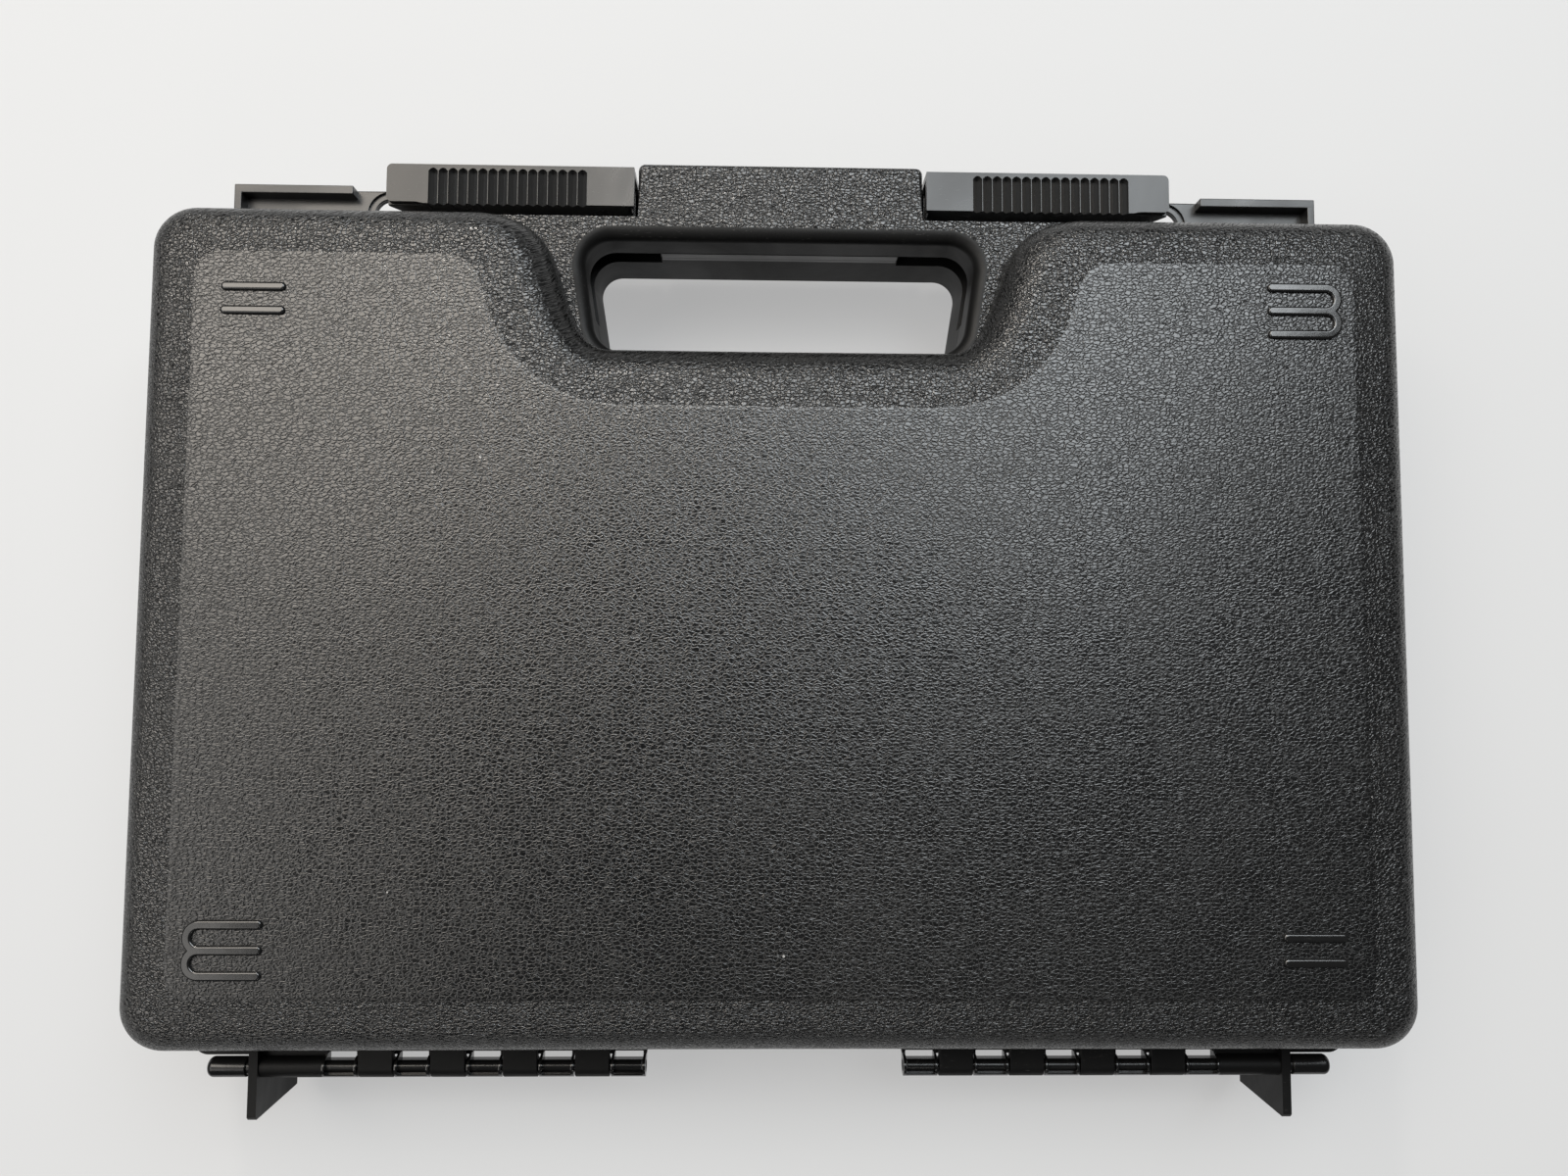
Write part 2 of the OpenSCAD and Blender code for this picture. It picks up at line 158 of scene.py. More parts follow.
def clear() -> None:
    """Leaves nothing selected, for a new primitive or another object."""
    if bpy.context.object is not None and bpy.context.object.mode != "OBJECT":
        bpy.ops.object.mode_set(mode="OBJECT")
    bpy.ops.object.select_all(action="DESELECT")


def solo(obj: Obj) -> None:
    """Makes one object the only selected one, and the active one."""
    clear()
    obj.select_set(True)
    bpy.context.view_layer.objects.active = obj


def fresh(name: str) -> Obj:
    """The primitive that was just added, under its name."""
    bpy.context.object.name = name
    return bpy.context.object


def apply_step(obj: Obj, name: str, kind: str, **settings: object) -> Obj:
    """Adds a modifier and applies it.

    Args:
        obj: The mesh object.
        name: Name of the modifier.
        kind: Its type.
        **settings: Its attributes.

    Returns:
        The same object.
    """
    solo(obj)
    step = obj.modifiers.new(name, kind)
    for key, value in settings.items():
        setattr(step, key, value)
    bpy.ops.object.modifier_apply(modifier=step.name)
    return obj


def face_outwards() -> None:
    """Turns all faces of the mesh in edit mode outwards."""
    bpy.ops.mesh.select_all(action="SELECT")
    bpy.ops.mesh.normals_make_consistent(inside=False)


@contextmanager
def editing(obj: Obj, edges: EdgeTest | None = None) -> Iterator[int]:
    """Opens edit mode with some edges selected, or with all faces.

    Args:
        obj: The mesh object.
        edges: Picks edges by their two ends.

    Yields:
        How many edges or faces are selected.
    """
    solo(obj)
    bpy.ops.object.mode_set(mode="EDIT")
    bpy.ops.mesh.select_mode(type="EDGE" if edges else "FACE")
    bpy.ops.mesh.select_all(action="DESELECT" if edges else "SELECT")
    mesh = bmesh.from_edit_mesh(obj.data)
    count = len(mesh.faces)
    if edges:
        chosen = [e for e in mesh.edges if edges(e.verts[0].co, e.verts[1].co)]
        for edge in chosen:
            edge.select_set(True)
        count = len(chosen)
        mesh.select_flush_mode()
        bmesh.update_edit_mesh(obj.data)
    yield count
    bpy.ops.object.mode_set(mode="OBJECT")


def round_edges(obj: Obj, radius: float, steps: int, edges: EdgeTest) -> None:
    """Bevels the edges that a test picks.

    Args:
        obj: The mesh object.
        radius: Size of the bevel in millimetres.
        steps: Facets of the bevel.
        edges: Picks edges by their two ends.
    """
    with editing(obj, edges=edges) as count:
        if count:
            bpy.ops.mesh.bevel(offset_type="OFFSET", offset=radius, segments=steps, profile=0.5,
                               affect="EDGES", clamp_overlap=True)


def soften(obj: Obj, width: float, steps: int = 2, angle: float = 40.0) -> None:
    """Breaks all sharp edges with a bevel modifier, and applies it.

    Args:
        obj: The mesh object.
        width: Size of the bevel in millimetres.
        steps: Facets of the bevel.
        angle: Edges sharper than this are bevelled, in degrees.
    """
    apply_step(obj, "Broken edges", "BEVEL", width=width, segments=steps, limit_method="ANGLE",
               angle_limit=math.radians(angle), use_clamp_overlap=True)


def block(name: str, low: Sequence[float], high: Sequence[float]) -> Obj:
    """A cube primitive between two corners.

    Args:
        name: Name of the object.
        low: Lowest corner.
        high: Highest corner.

    Returns:
        The object, with its place in its mesh.
    """
    clear()
    middle = [(a + b) / 2 for a, b in zip(low, high)]
    bpy.ops.mesh.primitive_cube_add(size=1, location=middle)
    obj = fresh(name)
    bpy.ops.transform.resize(value=[b - a for a, b in zip(low, high)])
    bpy.ops.object.transform_apply(location=True, rotation=True, scale=True)
    return obj


class Axis(Enum):
    """Direction of a rod, as the turn that a cylinder needs."""

    X = (0.0, math.pi / 2, 0.0)
    Z = (0.0, 0.0, 0.0)


def rod(name: str, axis: Axis, start: Sequence[float], length: float, r: float, sides: int = 48) -> Obj:
    """A cylinder primitive along an axis.

    Args:
        name: Name of the object.
        axis: Direction.
        start: Middle of the end with the lowest coordinate.
        length: Length along the axis.
        r: Radius.
        sides: Facets round it.

    Returns:
        The object, with its place in its mesh.
    """
    clear()
    along = Vector((1, 0, 0)) if axis is Axis.X else Vector((0, 0, 1))
    bpy.ops.mesh.primitive_cylinder_add(vertices=sides, radius=r, depth=length,
                                        location=Vector(start) + along * length / 2, rotation=axis.value)
    obj = fresh(name)
    bpy.ops.object.transform_apply(location=True, rotation=True, scale=True)
    return obj


def outline_face(name: str, ring: Ring) -> Obj:
    """A circle primitive with its points moved to a ring."""
    clear()
    bpy.ops.mesh.primitive_circle_add(vertices=len(ring), radius=1, fill_type="NGON")
    obj = fresh(name)
    for vertex, corner in zip(obj.data.vertices, ring):
        vertex.co = corner
    return obj


def prism(name: str, base: Ring, reach: Sequence[float]) -> Obj:
    """A flat outline, extruded.

    Args:
        name: Name of the object.
        base: Corners of the outline, in one plane.
        reach: Direction and length of the extrusion.

    Returns:
        The closed solid.
    """
    obj = outline_face(name, base)
    with editing(obj):
        bpy.ops.mesh.extrude_region_move(TRANSFORM_OT_translate={"value": tuple(reach)})
        face_outwards()
    return obj


def upright(name: str, loop: Loop, z0: float, z1: float) -> Obj:
    """A prism that stands on a level outline between two heights."""
    return prism(name, at_height(loop, z0), (0, 0, z1 - z0))


def along_x(name: str, profile: Loop, x0: float, x1: float) -> Obj:
    """A prism with a section of Y and Z, between two places along X."""
    return prism(name, [(x0, y, z) for y, z in profile], (x1 - x0, 0, 0))


def loft(name: str, rings: Sequence[Ring]) -> Obj:
    """A closed skin through rings of equal length, capped at both ends.

    Args:
        name: Name of the object.
        rings: The rings from one cap to the other.

    Returns:
        The closed solid.
    """
    count = len(rings[0])
    obj = outline_face(name, rings[0])
    bpy.ops.object.mode_set(mode="EDIT")
    bpy.ops.mesh.select_mode(type="EDGE")
    bpy.ops.mesh.select_all(action="SELECT")
    bpy.ops.mesh.delete(type="ONLY_FACE")
    bpy.ops.mesh.select_all(action="SELECT")
    bpy.ops.mesh.edge_face_add()
    last = list(range(count))
    for ring in rings[1:]:
        mesh = bmesh.from_edit_mesh(obj.data)
        mesh.verts.ensure_lookup_table()
        for edge in mesh.edges:
            edge.select_set(False)
        for i in range(count):
            mesh.edges.get((mesh.verts[last[i]], mesh.verts[last[(i + 1) % count]])).select_set(True)
        mesh.select_flush_mode()
        bmesh.update_edit_mesh(obj.data)
        bpy.ops.mesh.extrude_edges_move()
        mesh = bmesh.from_edit_mesh(obj.data)
        mesh.verts.ensure_lookup_table()
        mesh.verts.index_update()
        old, new = set(last), []
        for i in last:
            links = (e.other_vert(mesh.verts[i]) for e in mesh.verts[i].link_edges)
            new.append(next(v.index for v in links if v.select and v.index not in old))
        for i, corner in zip(new, ring):
            mesh.verts[i].co = corner
        bmesh.update_edit_mesh(obj.data)
        last = new
    bpy.ops.mesh.edge_face_add()
    face_outwards()
    bpy.ops.object.mode_set(mode="OBJECT")
    return obj


def cut_out(body: Obj, tool: Obj) -> Obj:
    """Cuts a tool out of a solid, and deletes the tool.

    Args:
        body: The solid that is kept.
        tool: The solid that is taken from it.

    Returns:
        The changed solid.
    """
    apply_step(body, "Combine", "BOOLEAN", operation="DIFFERENCE", solver="EXACT", object=tool)
    bpy.data.objects.remove(tool, do_unlink=True)
    return body


def gather(name: str, parts: Sequence[Obj]) -> Obj:
    """Puts several meshes into one object.

    Args:
        name: Name of the result.
        parts: The objects, the first of which is kept.

    Returns:
        The one object.
    """
    solo(parts[0])
    for part in parts[1:]:
        part.select_set(True)
    if len(parts) > 1:
        bpy.ops.object.join()
    parts[0].name = name
    return parts[0]


def mirrored(obj: Obj, keep: bool = True) -> Obj:
    """Mirrors a right-hand mesh to the left of the case.

    Args:
        obj: The mesh object.
        keep: Whether the right-hand one stays too.

    Returns:
        The same object.
    """
    if keep:
        return apply_step(obj, "Mirror", "MIRROR", use_axis=(True, False, False), use_mirror_merge=False)
    with editing(obj):
        bpy.ops.transform.resize(value=(-1, 1, 1), center_override=(0, 0, 0))
        bpy.ops.mesh.normals_make_consistent(inside=False)
    return obj


def repeated(obj: Obj, count: int, pitch: float) -> Obj:
    """Repeats a mesh along X with an array modifier."""
    return apply_step(obj, "Row", "ARRAY", count=count, use_relative_offset=False, use_constant_offset=True,
                      constant_offset_displace=(pitch, 0, 0))


def paint(obj: Obj, slots: Materials, slot: int = 0) -> Obj:
    """Gives a mesh all of a sub-assembly's materials, and its faces one of them."""
    obj.data.materials.clear()
    for material in slots:
        obj.data.materials.append(material)
    for face in obj.data.polygons:
        face.material_index = slot
    return obj


@dataclass(frozen=True)
class Place:
    """Where the parting plane's frame lies in the part's own frame.

    Attributes:
        hinge_y: Height of the hinge line in the parting plane's frame, in millimetres.
    """

    hinge_y: float = -145.5

    def offset(self) -> Vector:
        """Move from the parting plane's frame to the part's frame, in metres."""
        joint = next(j for j in frame["record"]["behaviour"]["joints"] if j["name"] == "lid_hinge")
        return Vector((0.0, joint["pos_m"][1] - self.hinge_y * MM, joint["pos_m"][2]))

    def settle(self, obj: Obj, half: Half = Half.LID) -> None:
        """Takes a mesh from millimetres in the parting plane's frame to metres in the part's frame.

        Args:
            obj: The mesh object.
            half: The base's shell is mirrored in the parting plane.
        """
        flip = -1.0 if half is Half.BASE else 1.0
        with editing(obj):
            bpy.ops.transform.resize(value=(MM, MM, MM * flip), center_override=(0, 0, 0))
            if half is Half.BASE:
                bpy.ops.mesh.flip_normals()
            bpy.ops.transform.translate(value=self.offset())


def finish_piece(obj: Obj, angle: float = 38.0) -> None:
    """Smooths the shading and lets the large faces lead it.

    Args:
        obj: A settled mesh object.
        angle: Edges sharper than this stay sharp, in degrees.
    """
    solo(obj)
    bpy.ops.object.shade_smooth_by_angle(angle=math.radians(angle))
    apply_step(obj, "Even shading", "WEIGHTED_NORMAL", keep_sharp=True)


# Finishes

class Nodes:
    """Adds nodes to a tree and links them, in the order in which a maker thinks of them."""

    def __init__(self, tree: bpy.types.NodeTree) -> None:
        """Keeps the tree."""
        self.tree = tree

    def add(self, kind: str, **settings: object) -> bpy.types.Node:
        """A node with its settings.

        Args:
            kind: Type name of the node.
            **settings: Attributes to set.

        Returns:
            The node.
        """
        node = self.tree.nodes.new(kind)
        for key, value in settings.items():
            setattr(node, key, value)
        return node

    def feed(self, node: bpy.types.Node, **inputs: object) -> bpy.types.Node:
        """Fills a node's inputs by name, with a socket or a plain value."""
        for key, value in inputs.items():
            self.put(node.inputs[key.replace("_", " ")], value)
        return node

    def put(self, socket: Socket, value: object) -> None:
        """Fills one input with a socket or a plain value."""
        if isinstance(value, Socket):
            self.tree.links.new(value, socket)
        else:
            socket.default_value = value

    def sums(self, operation: str, a: object, b: object = 0.0, clamp: bool = False) -> Socket:
        """The result of a maths node.

        Args:
            operation: Name of the operation.
            a: First value or socket.
            b: Second value or socket.
            clamp: Whether the result is held between 0 and 1.

        Returns:
            Its output.
        """
        node = self.add("ShaderNodeMath", operation=operation, use_clamp=clamp)
        self.put(node.inputs[0], a)
        self.put(node.inputs[1], b)
        return node.outputs[0]

    def span(self, value: object, low: float, high: float, out_low: float = 0.0,
             out_high: float = 1.0, smooth: bool = False) -> Socket:
        """Maps a value from one span to another, held at its ends.

        Args:
            value: Value or socket.
            low: Start of the span read.
            high: End of the span read.
            out_low: What the start becomes.
            out_high: What the end becomes.
            smooth: Whether the ends are eased.

        Returns:
            The mapped value.
        """
        node = self.add("ShaderNodeMapRange", interpolation_type="SMOOTHSTEP" if smooth else "LINEAR")
        for socket, number in zip(node.inputs, (value, low, high, out_low, out_high)):
            self.put(socket, number)
        return node.outputs[0]

    def noise(self, where: Socket, scale: float, detail: float = 2.0, rough: float = 0.5,
              twist: float = 0.0) -> Socket:
        """A noise pattern's value.

        Args:
            where: Coordinates.
            scale: Features per metre.
            detail: Octaves.
            rough: Weight of the finer octaves.
            twist: Distortion.

        Returns:
            Its value, about 0.5 on average.
        """
        node = self.add("ShaderNodeTexNoise")
        self.feed(node, Vector=where, Scale=scale, Detail=detail, Roughness=rough, Distortion=twist)
        return node.outputs[0]

    def stretched(self, where: Socket, scale: Sequence[float]) -> Socket:
        """Coordinates multiplied axis by axis."""
        node = self.add("ShaderNodeVectorMath", operation="MULTIPLY")
        self.put(node.inputs[0], where)
        self.put(node.inputs[1], tuple(scale))
        return node.outputs[0]

    def warped(self, where: Socket, scale: object, reach: float) -> Socket:
        """Flat coordinates pushed about by a noise.

        Args:
            where: Coordinates.
            scale: Features of the noise per metre.
            reach: How far it pushes, in metres.

        Returns:
            The bent coordinates.
        """
        wind = self.add("ShaderNodeTexNoise", noise_dimensions="2D")
        self.feed(wind, Vector=where, Scale=scale, Detail=0.0)
        push = self.add("ShaderNodeVectorMath", operation="MULTIPLY_ADD")
        self.put(push.inputs[0], wind.outputs["Color"])
        self.put(push.inputs[1], (reach, reach, reach))
        self.put(push.inputs[2], where)
        return push.outputs[0]

    def bump(self, height: Socket, depth: float) -> Socket:
        """The normal of a bumpy skin.

        Args:
            height: Height pattern.
            depth: Metres for a height of 1.

        Returns:
            The normal.
        """
        return self.feed(self.add("ShaderNodeBump"), Strength=1.0, Distance=depth, Height=height).outputs[0]

    def mixed(self, amount: object, a: object, b: object) -> Socket:
        """A number between two numbers."""
        node = self.add("ShaderNodeMix", data_type="FLOAT")
        for socket, value in zip(node.inputs, (amount, None, a, b)):
            if value is not None:
                self.put(socket, value)
        return node.outputs[0]

    def blend(self, amount: object, a: object, b: object) -> Socket:
        """A colour between two colours."""
        node = self.add("ShaderNodeMix", data_type="RGBA")
        self.put(node.inputs[0], amount)
        self.put(node.inputs[6], a)
        self.put(node.inputs[7], b)
        return node.outputs[2]


def new_group(name: str, inputs: Sequence[str],
              outputs: Sequence[str]) -> tuple[bpy.types.NodeTree, Nodes, dict]:
    """An empty node group with number sockets and a coordinate input.

    Args:
        name: Name of the group.
        inputs: Names of the number inputs.
        outputs: Names of the number outputs.

    Returns:
        The group, its node helper and its sockets by name.
    """
    tree = bpy.data.node_groups.new(name, "ShaderNodeTree")
    tree.interface.new_socket("Where", in_out="INPUT", socket_type="NodeSocketVector")
    for item in inputs:
        tree.interface.new_socket(item, in_out="INPUT", socket_type="NodeSocketFloat")
    for item in outputs:
        tree.interface.new_socket(item, in_out="OUTPUT", socket_type="NodeSocketFloat")
    nodes = Nodes(tree)
    source = nodes.add("NodeGroupInput")
    target = nodes.add("NodeGroupOutput")
    sockets = {s.name: s for s in source.outputs if s.name}
    sockets.update({"out " + s.name: s for s in target.inputs if s.name})
    return tree, nodes, sockets


class MouldGrain:
    """The leather grain of the mould: low pebbles with fine creases between them.

    The pattern is flat: height slides it sideways, so that it also covers upright walls.
    """

    def __init__(self) -> None:
        """Makes the group."""
        self.tree, nodes, sockets = new_group("Mould grain", ["Scale"], ["Height", "Crease", "Spread"])
        scale = sockets["Scale"]
        split = nodes.add("ShaderNodeSeparateXYZ")
        nodes.put(split.inputs[0], sockets["Where"])
        slid = nodes.sums("MULTIPLY", split.outputs[2], 0.7)
        flat = nodes.add("ShaderNodeCombineXYZ")
        nodes.put(flat.inputs[0], nodes.sums("MULTIPLY", nodes.sums("ADD", split.outputs[0], slid), 0.62))
        nodes.put(flat.inputs[1], nodes.sums("ADD", split.outputs[1], slid))
        where = nodes.warped(flat.outputs[0], nodes.sums("MULTIPLY", scale, 1.1), 0.0010)
        cells = nodes.add("ShaderNodeTexVoronoi", feature="DISTANCE_TO_EDGE", voronoi_dimensions="2D")
        nodes.feed(cells, Vector=where, Scale=scale, Randomness=0.9)
        fine = nodes.add("ShaderNodeTexNoise", noise_dimensions="2D")
        nodes.feed(fine, Vector=where, Scale=nodes.sums("MULTIPLY", scale, 2.6), Detail=1.0, Roughness=0.6)
        away = cells.outputs["Distance"]
        domes = nodes.sums("POWER", nodes.sums("MULTIPLY", away, 3.2, clamp=True), 0.65)
        height = nodes.sums("ADD", domes, nodes.sums("MULTIPLY", fine.outputs[0], 0.35))
        nodes.put(sockets["out Height"], height)
        nodes.put(sockets["out Crease"], nodes.span(away, 0.0, 0.12, 1.0, 0.0))
        nodes.put(sockets["out Spread"], fine.outputs[0])


class HandlingMarks:
    """Dust specks, faint smears and scuffs that years of handling leave."""

    def __init__(self) -> None:
        """Makes the group."""
        self.tree, nodes, sockets = new_group("Handling marks", ["Dust"], ["Specks", "Smear", "Scuff"])
        where = sockets["Where"]
        specks = nodes.add("ShaderNodeTexVoronoi", feature="F1")
        nodes.feed(specks, Vector=where, Scale=85.0)
        chance = nodes.add("ShaderNodeSeparateColor")
        nodes.put(chance.inputs[0], specks.outputs["Color"])
        size = nodes.span(chance.outputs[1], 0.0, 1.0, 0.018, 0.045)
        spot = nodes.sums("LESS_THAN", specks.outputs["Distance"], size)
        lucky = nodes.sums("LESS_THAN", chance.outputs[0], sockets["Dust"])
        nodes.put(sockets["out Specks"], nodes.sums("MULTIPLY", spot, lucky))
        nodes.put(sockets["out Smear"], nodes.noise(where, 14.0, 3.0, 0.6, 1.5))
        streak = nodes.noise(nodes.stretched(where, (1.0, 3.5, 1.0)), 160.0, 4.0, 0.65, 0.6)
        patch = nodes.noise(where, 22.0, 2.0, 0.5)
        nodes.put(sockets["out Scuff"], nodes.sums("MULTIPLY", nodes.span(streak, 0.60, 0.72, smooth=True),
                                                   nodes.span(patch, 0.52, 0.66, smooth=True)))


def use_group(nodes: Nodes, tree: bpy.types.NodeTree, where: Socket,
              **numbers: object) -> bpy.types.Node:
    """Adds a group node, fed with coordinates and numbers."""
    node = nodes.add("ShaderNodeGroup", node_tree=tree)
    nodes.put(node.inputs["Where"], where)
    for key, value in numbers.items():
        nodes.put(node.inputs[key], value)
    return node


def new_material(name: str) -> tuple[bpy.types.Material, Nodes, bpy.types.Node, Socket]:
    """An empty material.

    Args:
        name: Name of the material.

    Returns:
        The material, its node helper, its shader and the object's coordinates.
    """
    material = bpy.data.materials.new(name)
    material.use_nodes = True
    nodes = Nodes(material.node_tree)
    shader = material.node_tree.nodes["Principled BSDF"]
    where = nodes.add("ShaderNodeTexCoord").outputs["Object"]
    return material, nodes, shader, where


def grey(value: float, warm: float = 0.0) -> tuple[float, float, float, float]:
    """A grey, a little warmer or cooler."""
    return (value * (1 + warm), value, value * (1 - warm), 1.0)


@dataclass(frozen=True)
class GrainedPlastic:
    """Charcoal black moulded plastic with a leather grain.

    Attributes:
        shade: Grey of the plastic.
        grain_scale: Wrinkles per metre on the flat face.
        band_scale: Wrinkles per metre on the sides.
        depth: Depth of the grain in metres.
        rough: Roughness of the skin.
        band_depth: How much deeper the grain is on the sides.
        face_level: Distance of the flat face from the parting plane, in metres.
        mid_z: Height of the parting plane in metres.
        crease_rough: How much rougher the creases are.
        gleam: Strength of the reflections.
        dust: Share of the pattern's cells that hold a speck.
        dust_shade: Grey of the specks.
        scuff_shade: Grey of the scuffs.
        scuff_x: Where the corner with more scuffs starts and is full, across.
        scuff_y: The same, up.
    """

    shade: float = 0.005
    grain_scale: float = 940.0
    band_scale: float = 1100.0
    depth: float = 0.000072
    rough: float = 0.21
    band_depth: float = 2.0
    face_level: float = 0.0399
    mid_z: float = 0.041
    crease_rough: float = 0.5
    gleam: float = 0.75
    dust: float = 0.22
    dust_shade: float = 0.5
    scuff_shade: float = 0.20
    scuff_x: tuple[float, float] = (0.10, 0.19)
    scuff_y: tuple[float, float] = (-0.03, -0.12)

    def material(self, grain: MouldGrain, marks: HandlingMarks) -> bpy.types.Material:
        """Makes the material.

        Args:
            grain: The mould's grain.
            marks: Dust, smears and scuffs.

        Returns:
            The material.
        """
        material, nodes, shader, where = new_material("Grained shell plastic")
        split = nodes.add("ShaderNodeSeparateXYZ")
        nodes.put(split.inputs[0], where)
        level = nodes.sums("ABSOLUTE", nodes.sums("SUBTRACT", split.outputs[2], self.mid_z))
        on_face = nodes.sums("GREATER_THAN", level, self.face_level)
        skin = use_group(nodes, grain.tree, where,
                         Scale=nodes.mixed(on_face, self.band_scale, self.grain_scale))
        height = nodes.sums("MULTIPLY", skin.outputs["Height"], nodes.mixed(on_face, self.band_depth, 1.0))
        crease = skin.outputs["Crease"]
        mark = use_group(nodes, marks.tree, where, Dust=self.dust)
        tone = nodes.span(mark.outputs["Smear"], 0.3, 0.7, 0.8, 1.25)
        base = nodes.blend(nodes.span(tone, 0.8, 1.25), grey(self.shade * 0.85, -0.03),
                           grey(self.shade * 1.2, 0.03))
        corner = nodes.sums("MULTIPLY", nodes.span(split.outputs[0], *self.scuff_x, smooth=True),
                            nodes.span(split.outputs[1], *self.scuff_y, smooth=True))
        scuff = nodes.sums("MULTIPLY", mark.outputs["Scuff"], nodes.sums("ADD", nodes.sums(
            "MULTIPLY", corner, 0.55), 0.12))
        base = nodes.blend(scuff, base, grey(self.scuff_shade, 0.02))
        base = nodes.blend(nodes.sums("MULTIPLY", mark.outputs["Specks"], 0.7), base,
                           grey(self.dust_shade, 0.02))
        nodes.put(shader.inputs["Base Color"], base)
        spread = nodes.span(skin.outputs["Spread"], 0.3, 0.7, self.rough - 0.05, self.rough + 0.07)
        spread = nodes.sums("ADD", spread, nodes.sums("MULTIPLY", crease, self.crease_rough))
        spread = nodes.sums("ADD", spread, nodes.mixed(on_face, 0.02, 0.0))
        smeared = nodes.sums("ADD", spread, nodes.span(mark.outputs["Smear"], 0.35, 0.7, -0.03, 0.05))
        nodes.put(shader.inputs["Roughness"], nodes.sums("ADD", smeared, nodes.sums("MULTIPLY", scuff, 0.3)))
        nodes.put(shader.inputs["Normal"], nodes.bump(height, self.depth))
        shader.inputs["IOR"].default_value = 1.5
        shader.inputs["Specular IOR Level"].default_value = self.gleam
        return material


@dataclass(frozen=True)
class SmoothPlastic:
    """Smooth black moulded plastic.

    Attributes:
        name: Name of the material.
        shade: Grey of the plastic.
        rough: Roughness of the skin.
        gleam: Strength of the reflections.
        ripple: Height of the faint waves in metres.
        dust: Share of the pattern's cells that hold a speck.
        dust_shade: Grey of the specks.
        scratch_shade: Grey of the fine scratches.
    """

    name: str
    shade: float
    rough: float
    gleam: float = 0.5
    ripple: float = 0.00003
    dust: float = 0.12
    dust_shade: float = 0.5
    scratch_shade: float = 0.16

    def material(self, marks: HandlingMarks) -> bpy.types.Material:
        """Makes the material.

        Args:
            marks: Dust, smears and scuffs.

        Returns:
            The material.
        """
        material, nodes, shader, where = new_material(self.name)
        mark = use_group(nodes, marks.tree, where, Dust=self.dust)
        waves = nodes.noise(where, 260.0, 2.0, 0.5)
        fine = nodes.noise(where, 2600.0, 2.0, 0.6)
        height = nodes.sums("ADD", waves, nodes.sums("MULTIPLY", fine, 0.25))
        hairline = nodes.noise(nodes.stretched(where, (0.25, 1.0, 1.0)), 1900.0, 3.0, 0.7)
        scratch = nodes.sums("MULTIPLY", nodes.span(hairline, 0.62, 0.70, smooth=True),
                             nodes.span(mark.outputs["Smear"], 0.45, 0.62, smooth=True))
        base = nodes.blend(nodes.sums("MULTIPLY", scratch, 0.25), grey(self.shade, 0.01),
                           grey(self.scratch_shade, 0.02))
        base = nodes.blend(nodes.sums("MULTIPLY", mark.outputs["Specks"], 0.6), base,
                           grey(self.dust_shade, 0.02))
        nodes.put(shader.inputs["Base Color"], base)
        rough = nodes.span(mark.outputs["Smear"], 0.3, 0.7, self.rough - 0.09, self.rough + 0.11)
        nodes.put(shader.inputs["Roughness"], nodes.sums("ADD", rough, nodes.sums("MULTIPLY", scratch, 0.15)))
        nodes.put(shader.inputs["Normal"], nodes.bump(height, self.ripple))
        shader.inputs["IOR"].default_value = 1.5
        shader.inputs["Specular IOR Level"].default_value = self.gleam
        return material


@dataclass(frozen=True)
class OpenCellFoam:
    """Charcoal open-cell foam, with painted shade in the bottoms of its pores.

    Attributes:
        shade: Grey of the foam.
        cells: Pores per metre.
        depth: Depth of the pores in metres.
    """

    shade: float = 0.05
    cells: float = 1300.0
    depth: float = 0.0006

    def material(self) -> bpy.types.Material:
        """Makes the material."""
        material, nodes, shader, where = new_material("Open-cell foam")
        pores = nodes.add("ShaderNodeTexVoronoi", feature="F1")
        nodes.feed(pores, Vector=where, Scale=self.cells)
        fine = nodes.noise(where, 3200.0, 3.0, 0.7)
        depth = nodes.sums("ADD", pores.outputs["Distance"], nodes.sums("MULTIPLY", fine, 0.6))
        # Painted shade: the colour darkens towards the bottom of each pore, where the bump sinks.
        tone = nodes.span(depth, 0.35, 1.0)
        base = nodes.blend(tone, grey(self.shade * 0.45), grey(self.shade * 1.5, -0.03))
        fade = nodes.noise(where, 9.0, 2.0, 0.5)
        nodes.put(shader.inputs["Base Color"], nodes.blend(nodes.span(fade, 0.4, 0.8, 0.0, 0.25), base,
                                                           grey(self.shade * 1.9, 0.02)))
        nodes.put(shader.inputs["Roughness"], nodes.span(fine, 0.3, 0.7, 0.82, 0.98))
        nodes.put(shader.inputs["Normal"], nodes.bump(depth, self.depth))
        shader.inputs["Sheen Weight"].default_value = 0.15
        return material


# Sub-assemblies

